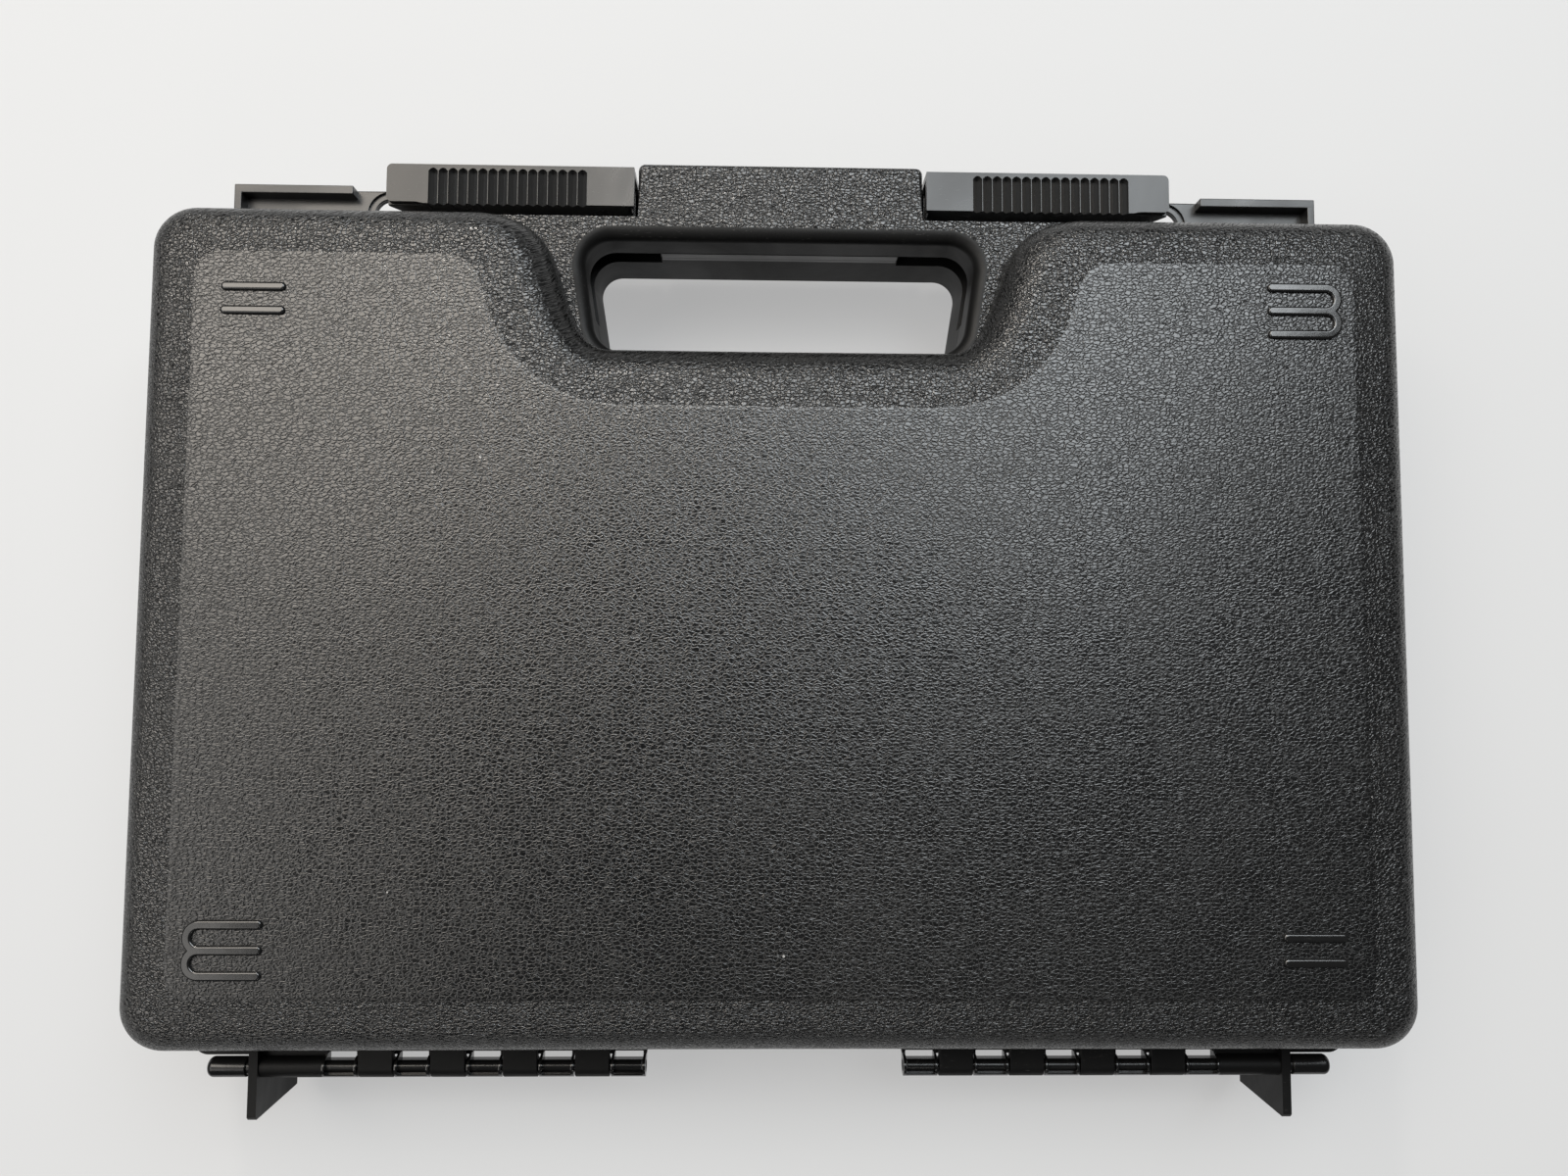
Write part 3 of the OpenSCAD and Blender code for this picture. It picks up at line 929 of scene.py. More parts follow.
@dataclass
class CaseBody:
    """The dish of a half shell: side wall, rounding, band and flat face.

    Attributes:
        rx: Half width over the rims.
        ry: Half height over the rims.
        half_t: Height of the flat face above the parting plane.
        wall: Wall thickness.
        corner_r: Corner radius in plan.
        round_r: Radius of the rounding.
        face_in: Distance from the side to the flat face's edge.
        face_r: Corner radius of the flat face.
        band_drop: How much lower the band lies than the flat face.
        step_place: Share of the band's width before the step up to the face.
        draft: Inward lean of the side wall.
        seam: Size of the broken edge at the parting plane.
        recess_x: Half width of the recess at the rim.
        waist_x: Half width of the recess at the grip.
        floor_x: Half width of the recess floor's straight part.
        floor_y: Height of the recess floor.
        recess_in: Distance from the recess wall to the flat face.
        recess_widening: How much wider the rounding is there.
        corner_steps: Facets of a corner.
        bend_steps: Facets of the recess wall's two bends.
        round_steps: Facets of the rounding.
    """

    rx: float = 200.0
    ry: float = 132.0
    half_t: float = 40.0
    wall: float = 2.5
    corner_r: float = 14.0
    round_r: float = 12.0
    face_in: float = 19.0
    face_r: float = 8.0
    band_drop: float = 0.8
    step_place: float = 0.93
    draft: float = 0.7
    seam: float = 0.35
    recess_x: float = 98.0
    waist_x: float = 74.0
    floor_x: float = 55.0
    floor_y: float = 88.0
    recess_in: float = 22.0
    recess_widening: float = 1.28
    corner_steps: int = 14
    bend_steps: tuple[int, int] = (14, 26)
    round_steps: int = 12

    def rim_half(self) -> Loop:
        """Right half of the rim, with the wall of the recess."""
        rx, ry, r, n, (n1, n2) = self.rx, self.ry, self.corner_r, self.corner_steps, self.bend_steps
        return ([(0, -ry)] + arc(rx - r, -ry + r, r, -90, 0, n) + arc(rx - r, ry - r, r, 0, 90, n)
                + curve((self.recess_x, ry), (self.recess_x - 12, ry), (self.waist_x + 3, ry - 5),
                        (self.waist_x, ry - 12), n1)
                + curve((self.waist_x, ry - 12), (self.waist_x - 4.5, ry - 24),
                        (self.floor_x + 11, self.floor_y), (self.floor_x, self.floor_y), n2)
                + [(self.floor_x, self.floor_y), (0, self.floor_y)])

    def face_half(self) -> Loop:
        """Right half of the flat face's edge, point for point with the rim."""
        fx, fy, low = self.rx - self.face_in, self.ry - self.face_in, self.floor_y - self.recess_in
        r, n, (n1, n2) = self.face_r, self.corner_steps, self.bend_steps
        return ([(0, -fy)] + arc(fx - r, -fy + r, r, -90, 0, n) + arc(fx - r, fy - r, r, 0, 90, n)
                + curve((self.recess_x + 8, fy), (self.recess_x + 1, fy), (self.waist_x + 22, fy - 4),
                        (self.waist_x + 20.5, fy - 10), n1)
                + curve((self.waist_x + 20.5, fy - 10), (self.waist_x + 16, fy - 29),
                        (self.floor_x + 22, low), (self.floor_x - 9, low), n2)
                + [(self.floor_x - 9, low), (0, low)])

    @property
    def recess_start(self) -> int:
        """Which point of the half rim the recess wall starts at."""
        return 1 + 2 * (self.corner_steps + 1)

    def rim(self) -> Loop:
        """The whole rim."""
        return both_sides(self.rim_half())

    def face(self) -> Loop:
        """The whole edge of the flat face."""
        return both_sides(self.face_half())

    def ring(self, side: Loop, r: float, angle: float, drop: float) -> Ring:
        """One ring of the outer or inner skin.

        Args:
            side: Outline of the wall that the rounding starts from.
            r: Radius of the rounding.
            angle: 0 where the rounding starts and 90 where it ends.
            drop: How far this skin lies below the outer one.

        Returns:
            The ring.
        """
        start = self.half_t - self.band_drop - self.round_r
        a = math.radians(angle)
        reach = self.draft + (r - self.draft) * (1 - math.cos(a))
        z = start + (self.half_t - self.band_drop - drop - start) * math.sin(a)
        ring = []
        for (x, y), (fx, fy), wide in zip(side, self.face(), self.widening()):
            step = reach * wide / math.hypot(fx - x, fy - y)
            ring.append((x + (fx - x) * step, y + (fy - y) * step, z))
        return ring

    def widening(self) -> list[float]:
        """How much wider the rounding is at each point of the rim: it grows where the recess begins."""
        more, bend = self.recess_widening - 1, self.bend_steps[0]
        half = [1 + more * min(1.0, max(0.0, (i - self.recess_start) / bend))
                for i in range(len(self.rim_half()))]
        return half + half[-2:0:-1]

    def build(self, slots: Materials) -> Obj:
        """Makes the dish, open at the parting plane."""
        rim, face = self.rim(), self.face()
        inner = inset(rim, self.wall)
        band, edge = self.ring(rim, self.round_r, 90, 0), at_height(face, self.half_t)
        crease = [tuple(a + (b - a) * self.step_place for a, b in zip(p, q)) for p, q in zip(band, edge)]
        rings = [at_height(face, self.half_t - self.wall)]
        rings += [self.ring(inner, self.round_r - self.wall, a, self.wall) for a in (90, 70, 45, 20, 0)]
        rings += [at_height(inner, 0), at_height(inset(rim, self.seam), 0), at_height(rim, self.seam)]
        rings += [self.ring(rim, self.round_r, 90 * i / self.round_steps, 0)
                  for i in range(self.round_steps + 1)]
        rings += [crease, edge, at_height(inset(face, 0.5), self.half_t)]
        return paint(loft("Dish", rings), slots, Skin.GRAINED)


@dataclass
class Grip:
    """The carrying grip of a half shell: a hollow bar and block round the hand opening.

    Attributes:
        body: The dish that carries it.
        front_z: Height of the grip's front above the parting plane.
        bar_y: Upper edge of the bar.
        block_x: Half width of the block between the latches.
        block_reach: Reach of the block past the rim.
        block_r: Corner radius of the block in plan.
        edge_r: Radius of the block's front edges.
        hand_x: Half width of the hand opening.
        hand_y0: Lower edge of the hand opening.
        hand_y1: Upper edge of the hand opening.
        mouth_r: Radius of the opening's rounded mouth.
        mouth_steps: Facets of that rounding.
        base_mouth_r: The same radius on the base.
        base_lean: How much the base's opening closes in.
        base_panel_z: Depth of the filler panel in the base.
        slot_x: Inner end of the slots beside the middle of the bar.
        slot_z: Half width of these slots.
    """

    body: CaseBody
    front_z: float = 18.5
    bar_y: float = 135.2
    block_x: float = 47.5
    block_reach: float = 21.5
    block_r: float = 2.2
    edge_r: float = 1.5
    hand_x: float = 65.0
    hand_y0: float = 90.3
    hand_y1: float = 128.0
    mouth_r: float = 4.0
    mouth_steps: int = 8
    base_mouth_r: float = 0.8
    base_lean: float = 1.6
    base_panel_z: float = 12.0
    slot_x: float = 41.0
    slot_z: float = 4.0

    def outline(self) -> Loop:
        """The grip's outline, which ends inside the recess wall."""
        body = self.body
        half = body.rim_half()
        inner = inset(body.rim(), body.wall / 2)
        edge = [inner[i] for i in range(len(half) - 1, body.recess_start - 1, -1)]
        top = body.ry + self.block_reach
        outer = ([(body.recess_x + 3, body.ry - body.wall / 2), (body.recess_x - 3, self.bar_y),
                  (self.block_x, self.bar_y)]
                 + arc(self.block_x - self.block_r, top - self.block_r, self.block_r, 0, 90, 10) + [(0, top)])
        return both_sides(edge + outer)

    def hand(self, d: float) -> Loop:
        """Outline of the hand opening, made larger by d on all sides."""
        half = ([(0, self.hand_y0 - d)] + arc(self.hand_x - 13, self.hand_y0 + 10, 10 + d, -90, -12, 12)
                + arc(self.hand_x - 9, self.hand_y1 - 9, 9 + d, -8, 90, 14) + [(0, self.hand_y1 + d)])
        return both_sides(half)

    def build(self, half: Half, slots: Materials) -> list[Obj]:
        """Makes the grip with its room, mouth and slots.

        Args:
            half: The base's opening closes in a little towards its back, and its mouth is nearly sharp.
            slots: Materials of the shell.

        Returns:
            The grip, and the smooth filler panel in its opening.
        """
        body, r, lean, panel_z = self.body, self.mouth_r, 0.0, self.slot_z
        if half is Half.BASE:
            r, lean, panel_z = self.base_mouth_r, -self.base_lean, self.base_panel_z
        outline = self.outline()
        grip = paint(upright("Grip", outline, 0, self.front_z), slots)

        def front_edge(a: Vector, b: Vector) -> bool:
            """Front edges of the block."""
            return (min(a.z, b.z) > self.front_z - 0.01 and min(a.y, b.y) > self.bar_y - 0.01
                    and max(abs(a.x), abs(b.x)) < self.block_x + 0.01)

        round_edges(grip, self.edge_r, 6, front_edge)
        room = upright("Room", inset(outline, body.wall), -1, self.front_z - body.wall)
        room = cut_out(room, upright("Plug", self.hand(body.wall), -2, self.front_z))
        grip = cut_out(grip, paint(room, slots))
        rings = [at_height(self.hand(0.3), -1), at_height(self.hand(0.3), 0), at_height(self.hand(0), 0.3)]
        for k in range(self.mouth_steps + 1):
            a = math.radians(90 * k / self.mouth_steps)
            mouth = self.hand(lean + r * (1 - math.cos(a)))
            rings.append(at_height(mouth, self.front_z - r + r * math.sin(a)))
        rings.append(at_height(self.hand(lean + r), self.front_z + 1))
        grip = cut_out(grip, paint(loft("Mouth", rings), slots, Skin.MATTE))
        for side in Side:
            ends = sorted((side.value * self.slot_x, side.value * (self.hand_x + 1)))
            slot = block("Slot", (ends[0], self.hand_y0 + 14, -1),
                         (ends[1], self.hand_y1 + body.wall + 0.5, self.slot_z))
            grip = cut_out(grip, paint(slot, slots, Skin.MATTE))
        panel = block("Panel", (-self.slot_x + 0.3, self.hand_y1 - 0.15, 0.05),
                      (self.slot_x - 0.3, self.hand_y1 + 1, panel_z))
        soften(panel, 0.12)
        return [grip, paint(panel, slots, Skin.SATIN)]


@dataclass
class Tabs:
    """Plates past the top rim with the padlock holes, their ribs, and the latch's strip and rail.

    Attributes:
        ry: Half height over the rims.
        x0: Inner end of the plate.
        x1: Outer end of the plate and rib.
        reach: Reach past the rim.
        plate_t: Thickness of the plate.
        rib_x0: Inner end of the rib.
        rib_w: Width of the rib.
        rib_t: Height of the rib above the plate.
        hole_x: Padlock hole, across.
        hole_y: Padlock hole, up.
        hole_r: Radius of the hole.
        ring_r: Radius of the sunk ring round it.
        ring_t: Depth of that ring.
        strip_y: Upper edge of the strip under the latch.
        strip_x0: Inner end of the strip.
        notch_x0: Inner end of the outermost notch in the strip.
        notch_w: Width of a notch.
        notch_y: Lower edge of the notches.
        notch_n: Number of notches.
        notch_pitch: Distance between them.
        rail_x: Ends of the lid's rail.
        rail_y: Where the rail's head starts and ends.
        rail_z: Front and back of the rail.
        head_z: Front and back of its head.
    """

    ry: float = 132.0
    x0: float = 125.4
    x1: float = 185.4
    reach: float = 17.0
    plate_t: float = 2.5
    rib_x0: float = 145.4
    rib_w: float = 3.0
    rib_t: float = 5.0
    hole_x: float = 134.2
    hole_y: float = 141.2
    hole_r: float = 5.6
    ring_r: float = 7.6
    ring_t: float = 1.1
    strip_y: float = 138.4
    strip_x0: float = 46.5
    notch_x0: float = 113.4
    notch_w: float = 11.2
    notch_y: float = 136.2
    notch_n: int = 3
    notch_pitch: float = 24.0
    rail_x: tuple[float, float] = (52.0, 124.0)
    rail_y: tuple[float, float] = (141.5, 143.1)
    rail_z: tuple[float, float] = (6.5, 8.5)
    head_z: tuple[float, float] = (5.1, 9.9)

    def build(self, half: Half, slots: Materials) -> list[Obj]:
        """Makes the tabs on both sides.

        Args:
            half: The rail is on the lid, the notches for the hooks are in the base's strip.
            slots: Materials of the shell.

        Returns:
            The meshes.
        """
        top = self.ry + self.reach
        plate = block("Tab", (self.x0, self.ry - 1, 0), (self.x1, top, self.plate_t))
        round_edges(plate, 1.2, 4, lambda a, b: min(a.x, b.x) > self.x1 - 0.01 and min(a.y, b.y) > top - 0.01)
        hole = rod("Hole", Axis.Z, (self.hole_x, self.hole_y, -1), self.plate_t + 2, self.hole_r, 64)
        plate = cut_out(plate, hole)
        ring = rod("Ring", Axis.Z, (self.hole_x, self.hole_y, self.plate_t - self.ring_t), 3, self.ring_r, 64)
        plate = cut_out(plate, ring)
        soften(plate, 0.25)
        rib_z = self.plate_t + self.rib_t
        rib = block("Rib", (self.rib_x0, top - self.rib_w, self.plate_t - 0.5), (self.x1, top - 0.02, rib_z))
        soften(rib, 0.35, 3)
        wing = block("End rib", (self.x1 - self.plate_t, self.ry - 1, self.plate_t - 0.5),
                     (self.x1 - 0.02, top - 1, rib_z - 0.02))
        soften(wing, 0.35, 3)
        strip = block("Strip", (self.strip_x0, self.ry - 1, 0.02),
                      (self.x0 + 1.2, self.strip_y, self.plate_t - 0.02))
        parts = [plate, rib, wing]
        if half is Half.BASE:
            for i in range(self.notch_n):
                x = self.notch_x0 - self.notch_pitch * i
                notch = block("Notch", (x, self.notch_y, -1), (x + self.notch_w, self.notch_y + 10, 5))
                strip = cut_out(strip, notch)
        else:
            (x0, x1), (y0, y1) = self.rail_x, self.rail_y
            parts.append(block("Rail", (x0, self.ry - 1, self.rail_z[0]), (x1, y0, self.rail_z[1])))
            parts.append(block("Rail head", (x0, y0, self.head_z[0]), (x1, y1, self.head_z[1])))
        soften(strip, 0.2)
        parts.append(strip)
        return [mirrored(paint(part, slots, Skin.SATIN)) for part in parts]


@dataclass
class StackingRidges:
    """Raised bars on the flat face that keep stacked cases together.

    Attributes:
        face_z: Height of the flat face.
        mark_x: Middle of a mark, across.
        mark_y: Middle of a mark, up.
        width: Width of a bar.
        pitch: Distance between two bars.
        height: Height of a bar.
        reach: How far a bar reaches inwards and outwards from the mark's middle.
        top_r: Radius of a bar's rounded top.
    """

    face_z: float = 40.0
    mark_x: float = 165.0
    mark_y: float = 99.0
    width: float = 2.9
    pitch: float = 7.5
    height: float = 1.0
    reach: tuple[float, float] = (11.5, 8.5)
    top_r: float = 0.95

    def ends(self) -> tuple[float, float, float]:
        """Middles of a bar's two round ends, across, and their radius."""
        r = self.width / 2
        return self.mark_x - self.reach[0] + r, self.mark_x + self.reach[1] - r, r

    def two_bars(self) -> list[Loop]:
        """Outlines of two bars with round ends."""
        x0, x1, r = self.ends()
        return [arc(x0, y, r, 270, 90, 12) + arc(x1, y, r, 90, -90, 12)
                for y in (-self.pitch / 2, self.pitch / 2)]

    def three_bars(self) -> list[Loop]:
        """Outline of three bars joined at one end."""
        x0, x1, r = self.ends()
        half = self.pitch / 2
        outer, inner = half + r, half - r
        notch = math.degrees(math.asin(half / outer))
        loop = arc(x1, half, outer, 90, -notch, 16) + arc(x1, -half, outer, notch - 8, -90, 16)
        for y in (-self.pitch, 0.0, self.pitch):
            loop += arc(x0, y, r, 270, 90, 12)
            if y < self.pitch:
                loop += arc(x1, y + half, inner, -90, 90, 12)
        return [loop]

    def build(self, half: Half, slots: Materials) -> list[Obj]:
        """Makes the marks in the four corners.

        Args:
            half: The base's marks are turned, so that a stacked case meshes.
            slots: Materials of the shell.

        Returns:
            The meshes.
        """
        flip = -1 if half is Half.BASE else 1
        corners = [(self.three_bars(), 1, 1), (self.three_bars(), -1, -1),
                   (self.two_bars(), -1, 1), (self.two_bars(), 1, -1)]
        bars = []
        for loops, sx, sy in corners:
            for loop in loops:
                placed = [(flip * sx * x, sy * (y + self.mark_y)) for x, y in loop]
                if flip * sx * sy < 0:
                    placed.reverse()
                top = self.face_z + self.height
                bar = upright("Bar", placed, self.face_z - 1, top)
                round_edges(bar, self.top_r, 5, lambda a, b: min(a.z, b.z) > top - 0.01)
                bars.append(paint(bar, slots, Skin.GLOSS))
        return bars


@dataclass
class Hinge:
    """Knuckles, web and fin feet along the bottom rim.

    Attributes:
        ry: Half height over the rims.
        rx: Half width over the rims.
        y: Height of the hinge line.
        x0: Inner end of the knuckles.
        x1: Outer end of the knuckles.
        count: Knuckles in one hinge.
        r: Radius of a knuckle.
        pin_r: Radius of the pin.
        fin_x0: Inner face of the fin.
        fin_x1: Outer face of the fin.
        fin_reach: Reach of the fin past the rim.
        fin_top: Height of the fin above the parting plane.
        fin_foot: Depth of the fin below it.
        web_reach: Reach of the web past the rim.
        wall: Wall thickness.
        cheek: Wall left at both ends of a scooped knuckle.
        gap_rise: How far the gap in front of the pin cuts into the web.
        play: Room at each end of a knuckle.
        bore_play: Room round the pin in the lid's knuckles.
        fin_root: Depth of the fin's root below the parting plane.
        web_r: Radius of the web's outer corner.
    """

    ry: float = 132.0
    rx: float = 200.0
    y: float = -145.5
    x0: float = 42.3
    x1: float = 148.2
    count: int = 9
    r: float = 3.4
    pin_r: float = 2.0
    fin_x0: float = 168.2
    fin_x1: float = 171.1
    fin_reach: float = 29.5
    fin_top: float = 4.0
    fin_foot: float = -31.0
    web_reach: float = 9.8
    wall: float = 2.5
    cheek: float = 0.9
    gap_rise: float = 1.0
    play: float = 0.25
    bore_play: float = 0.06
    fin_root: float = 27.5
    web_r: float = 5.0

    @property
    def rim(self) -> float:
        """Middle of the shell's wall at the bottom rim, where the hinge parts are rooted."""
        return -self.ry + self.wall / 2

    def ends(self, i: int) -> tuple[float, float]:
        """Inner and outer end of a knuckle, counted from the middle of the case."""
        pitch = (self.x1 - self.x0) / self.count
        return self.x0 + i * pitch + self.play, self.x0 + (i + 1) * pitch - self.play

    def bored(self, obj: Obj, x0: float, x1: float, r: float) -> Obj:
        """Cuts the pin's bore through a part between two places along X."""
        return cut_out(obj, rod("Bore", Axis.X, (x0 - 1, self.y, 0), x1 - x0 + 2, r))

    def lid_knuckle(self, i: int) -> Obj:
        """A plain block on the lid that closes round the pin."""
        x0, x1 = self.ends(i)
        profile = ([(self.rim, self.r)] + arc(self.y, 0, self.r, 90, 270, 20)
                   + [(self.y + 1.5, -self.r), (self.y + self.r, 0.2), (self.rim, 0.2)])
        knuckle = self.bored(along_x("Lid knuckle", profile, x0, x1), x0, x1, self.pin_r + self.bore_play)
        soften(knuckle, 0.3, 3, 30)
        return knuckle

    def base_knuckle(self, x0: float, x1: float) -> Obj:
        """A scooped knuckle on the base that leaves the pin open to the front.

        Args:
            x0: Inner end.
            x1: Outer end.

        Returns:
            The mesh, in the base's own sense of Z, where the lid lies below.
        """
        profile = ([(self.rim, self.r)] + arc(self.y, 0, self.r, 90, 180, 14)
                   + arc(self.y, 0, self.r, 180, 360, 20)[1:] + [(self.y + self.r, 0.2), (self.rim, 0.2)])
        return self.bored(along_x("Base knuckle", profile, x0, x1), x0, x1, self.pin_r)

    def gap(self, x0: float, x1: float) -> Obj:
        """The tool for the through gap between the pin and the web, along one knuckle."""
        return block("Gap", (x0 + self.cheek, self.y + self.pin_r - 0.2, -6),
                     (x1 - self.cheek, -self.ry - self.web_reach + self.gap_rise, 6))

    def build(self, half: Half, slots: Materials) -> list[Obj]:
        """Makes one shell's side of the hinges.

        Args:
            half: The shell. The base's parts are made mirrored, as its dish is.
            slots: Materials of the shell.

        Returns:
            The meshes.
        """
        parts = []
        if half is Half.LID:
            for i in range(1, self.count, 2):
                parts.append(paint(self.lid_knuckle(i), slots, Skin.MATTE))
            return [mirrored(part) for part in parts]
        web_y, r = -self.ry - self.web_reach, self.web_r
        web_loop = ([(self.x0, self.rim), (self.x0, web_y)] + arc(self.rx - 14, web_y + r, r, -90, -20, 10)
                    + [(self.rx - 8, self.rim)])
        web = upright("Web", web_loop, 0.02, self.wall)
        for i in range(0, self.count, 2):
            x0, x1 = self.ends(i)
            trough = block("Trough", (x0 + self.cheek, self.y - self.r + 1, -self.r - 1),
                           (x1 - self.cheek, -self.ry + 4, -0.4))
            knuckle = cut_out(self.base_knuckle(x0, x1), trough)
            knuckle = cut_out(knuckle, self.gap(x0, x1))
            web = cut_out(web, self.gap(x0, x1))
            soften(knuckle, 0.22, 2, 30)
            parts.append(paint(knuckle, slots, Skin.GLOSS))
        barrel = self.base_knuckle(self.x1 - 0.3, self.fin_x0 + 0.3)
        parts.append(paint(barrel, slots, Skin.MATTE))
        soften(web, 0.25)
        parts.append(paint(web, slots, Skin.MATTE))
        parts.append(paint(self.fin(), slots, Skin.MATTE))
        return [mirrored(part) for part in parts]

    def fin(self) -> Obj:
        """A fin foot, in the base's own sense of Z."""
        y0, y1 = -self.ry - self.fin_reach, -self.ry
        profile = [(self.rim, 0.1), (y1 - 0.8, 0.1), (y1 - 0.8, -self.fin_top), (y0 + 1, -self.fin_top),
                   (y0, -self.fin_top + 1), (y0, -self.fin_foot), (y1 + self.wall, -self.fin_foot),
                   (self.rim, self.fin_root)]
        fin = along_x("Fin", profile, self.fin_x0, self.fin_x1)
        fin = self.bored(fin, self.fin_x0, self.fin_x1, self.pin_r)
        soften(fin, 0.5, 3)
        return fin


@dataclass
class HingePin:
    """A plain rod with a rounded head, pushed in from the outer end.

    Attributes:
        side: End of the case.
        hinge: The hinge that it holds.
        head_x1: Outer end of the head.
        neck: Gap between the fin and the head.
        tip_r: Radius of the head's rounded end.
    """

    side: Side
    hinge: Hinge
    head_x1: float = 185.4
    neck: float = 1.5
    tip_r: float = 2.0

    def build(self, finish: bpy.types.Material) -> Obj:
        """Makes the pin."""
        h = self.hinge
        shank = rod("Shank", Axis.X, (h.x0 + self.neck, h.y, 0), h.fin_x1 - h.x0 - 0.5, h.pin_r)
        soften(shank, 0.4)
        neck = rod("Neck", Axis.X, (h.fin_x1 - 0.2, h.y, 0), self.neck + 0.7, h.r - 0.8)
        head_x0 = h.fin_x1 + self.neck
        head = rod("Head", Axis.X, (head_x0, h.y, 0), self.head_x1 - h.fin_x1 - self.neck, h.r - 0.1)
        round_edges(head, self.tip_r, 8, lambda a, b: min(a.x, b.x) > self.head_x1 - 0.01)
        round_edges(head, 0.4, 3, lambda a, b: max(a.x, b.x) < head_x0 + 0.01)
        pin = gather("Pin", [paint(part, [finish]) for part in (shank, neck, head)])
        return mirrored(pin, keep=False) if self.side is Side.LEFT else pin


@dataclass
class LatchSlider:
    """A sliding latch with finger grooves.

    Attributes:
        side: End of the case.
        x0: Inner end.
        x1: Outer end.
        y0: Lower edge of the front plate.
        y1: Upper edge.
        z1: Front.
        plate_t: Thickness of the plate.
        back_z: Back of the slider.
        edge_r: Radius of the upper edge.
        shelf_z: Lower end of the web in front of the tab.
        groove_x: Place of the first groove.
        groove_n: Number of grooves.
        groove_pitch: Distance between grooves.
        groove_w: Half width of the notch's open side.
        groove_deep: Depth of the notch from that side.
        step: How much higher the outer end's lower edge lies.
        step_x: Where the lower edge starts to rise.
        web: Thickness of the upper side.
        back_x1: Outer end of the back plate.
        lip_y: Upper edge of the lip and the shelf that hold the rail.
        lip_z: Back and front of the lip.
        shelf_top: Front of the shelf.
        hook_x: Inner end of the outermost hook.
        hook_w: Width of a hook.
        hook_y: Lower edge of the hooks.
        hook_z: Back and front of the hooks.
        hook_n: Number of hooks.
        hook_pitch: Distance between them.
        cut_lean: Slant of the outer end in degrees.
    """

    side: Side
    x0: float = 49.0
    x1: float = 131.0
    y0: float = 139.2
    y1: float = 152.5
    z1: float = 17.5
    plate_t: float = 2.5
    back_z: float = -17.5
    edge_r: float = 2.5
    shelf_z: float = 3.0
    groove_x: float = 66.2
    groove_n: int = 16
    groove_pitch: float = 3.3
    groove_w: float = 1.8
    groove_deep: float = 2.1
    step: float = 0.5
    step_x: float = 118.0
    web: float = 2.0
    back_x1: float = 112.0
    lip_y: float = 141.2
    lip_z: tuple[float, float] = (8.8, 15.2)
    shelf_top: float = 6.2
    hook_x: float = 102.0
    hook_w: float = 10.0
    hook_y: float = 136.5
    hook_z: tuple[float, float] = (-5.4, -2.8)
    hook_n: int = 3
    hook_pitch: float = 24.0
    cut_lean: float = 35.0

    def outline(self) -> Loop:
        """Front outline of the plate: the outer end's lower edge lies higher, its corners are round."""
        low = self.y0 + self.step
        r = 1.8
        rise = curve((self.step_x, self.y0), (self.step_x + 2, self.y0), (self.step_x + 2, low),
                     (self.step_x + 4, low), 8)
        return ([(self.x0, self.y0)] + rise + arc(self.x1 - r, low + r, r, -90, 0, 8)
                + arc(self.x1 - r, self.y1 - r, r, 0, 90, 8) + [(self.x0, self.y1)])

    def build(self, finish: bpy.types.Material) -> Obj:
        """Makes the slider."""
        body = upright("Plate", self.outline(), self.shelf_z, self.z1)
        round_edges(body, self.edge_r, 6, lambda a, b: min(a.z, b.z) > self.z1 - 0.01
                    and min(a.y, b.y) > self.y1 - 0.01)
        under = self.y1 - self.web
        body = cut_out(body, block("Hollow", (self.x0 - 1, self.y0 - 5, self.shelf_z - 1),
                                   (self.x1 + 1, under, self.z1 - self.plate_t)))
        body = cut_out(body, repeated(self.groove(), self.groove_n, self.groove_pitch))
        soften(body, 0.2, 2, 32)
        inner_z, low = self.back_z + self.plate_t, self.y0 + 0.3
        back = along_x("Back", [(under, 4), (self.y1 - 0.02, 4), (self.y1 - 0.02, self.back_z),
                                (low, self.back_z), (low, inner_z), (under, inner_z)],
                       self.x0, self.back_x1)
        (z0, z1), edge = self.lip_z, self.y0 + 0.02
        lip = along_x("Lip", [(edge, z1), (edge, z0), (self.lip_y, z0), (self.lip_y, z1)],
                      self.x0 + 1, self.x1)
        step_z = self.shelf_top - 1.5
        shelf = along_x("Shelf", [(low, self.shelf_top), (self.lip_y, self.shelf_top), (self.lip_y, step_z),
                                  (self.y1 - 1, step_z), (self.y1 - 1, self.shelf_z), (low, self.shelf_z)],
                        self.x0 + 1, self.x1)
        for part in (back, lip, shelf):
            soften(part, 0.3)
        body, lip, shelf = (cut_out(part, self.slant()) for part in (body, lip, shelf))
        starts = (self.hook_x - self.hook_pitch * i for i in range(self.hook_n))
        z0, z1 = self.hook_z
        hooks = [block("Hook", (x, self.hook_y, z0), (x + self.hook_w, self.y1 - 1, z1)) for x in starts]
        slider = gather("Slider", [paint(part, [finish]) for part in (body, back, lip, shelf, *hooks)])
        return mirrored(slider, keep=False) if self.side is Side.LEFT else slider

    def groove(self) -> Obj:
        """The tool for one finger groove: a notch with a pointed upper end."""
        def section(y: float, size: float) -> Ring:
            """The notch's section at a height, made smaller by a factor."""
            top = self.z1 + 0.3
            return [(self.groove_x - self.groove_w * size, y, top),
                    (self.groove_x, y, top - self.groove_deep * size),
                    (self.groove_x + self.groove_w * size, y, top)]

        end = self.y1 - 1.2
        return loft("Groove", [section(self.y0 - 1, 1.0), section(end - 1.0, 1.0), section(end - 0.25, 0.6),
                               section(end, 0.25)])

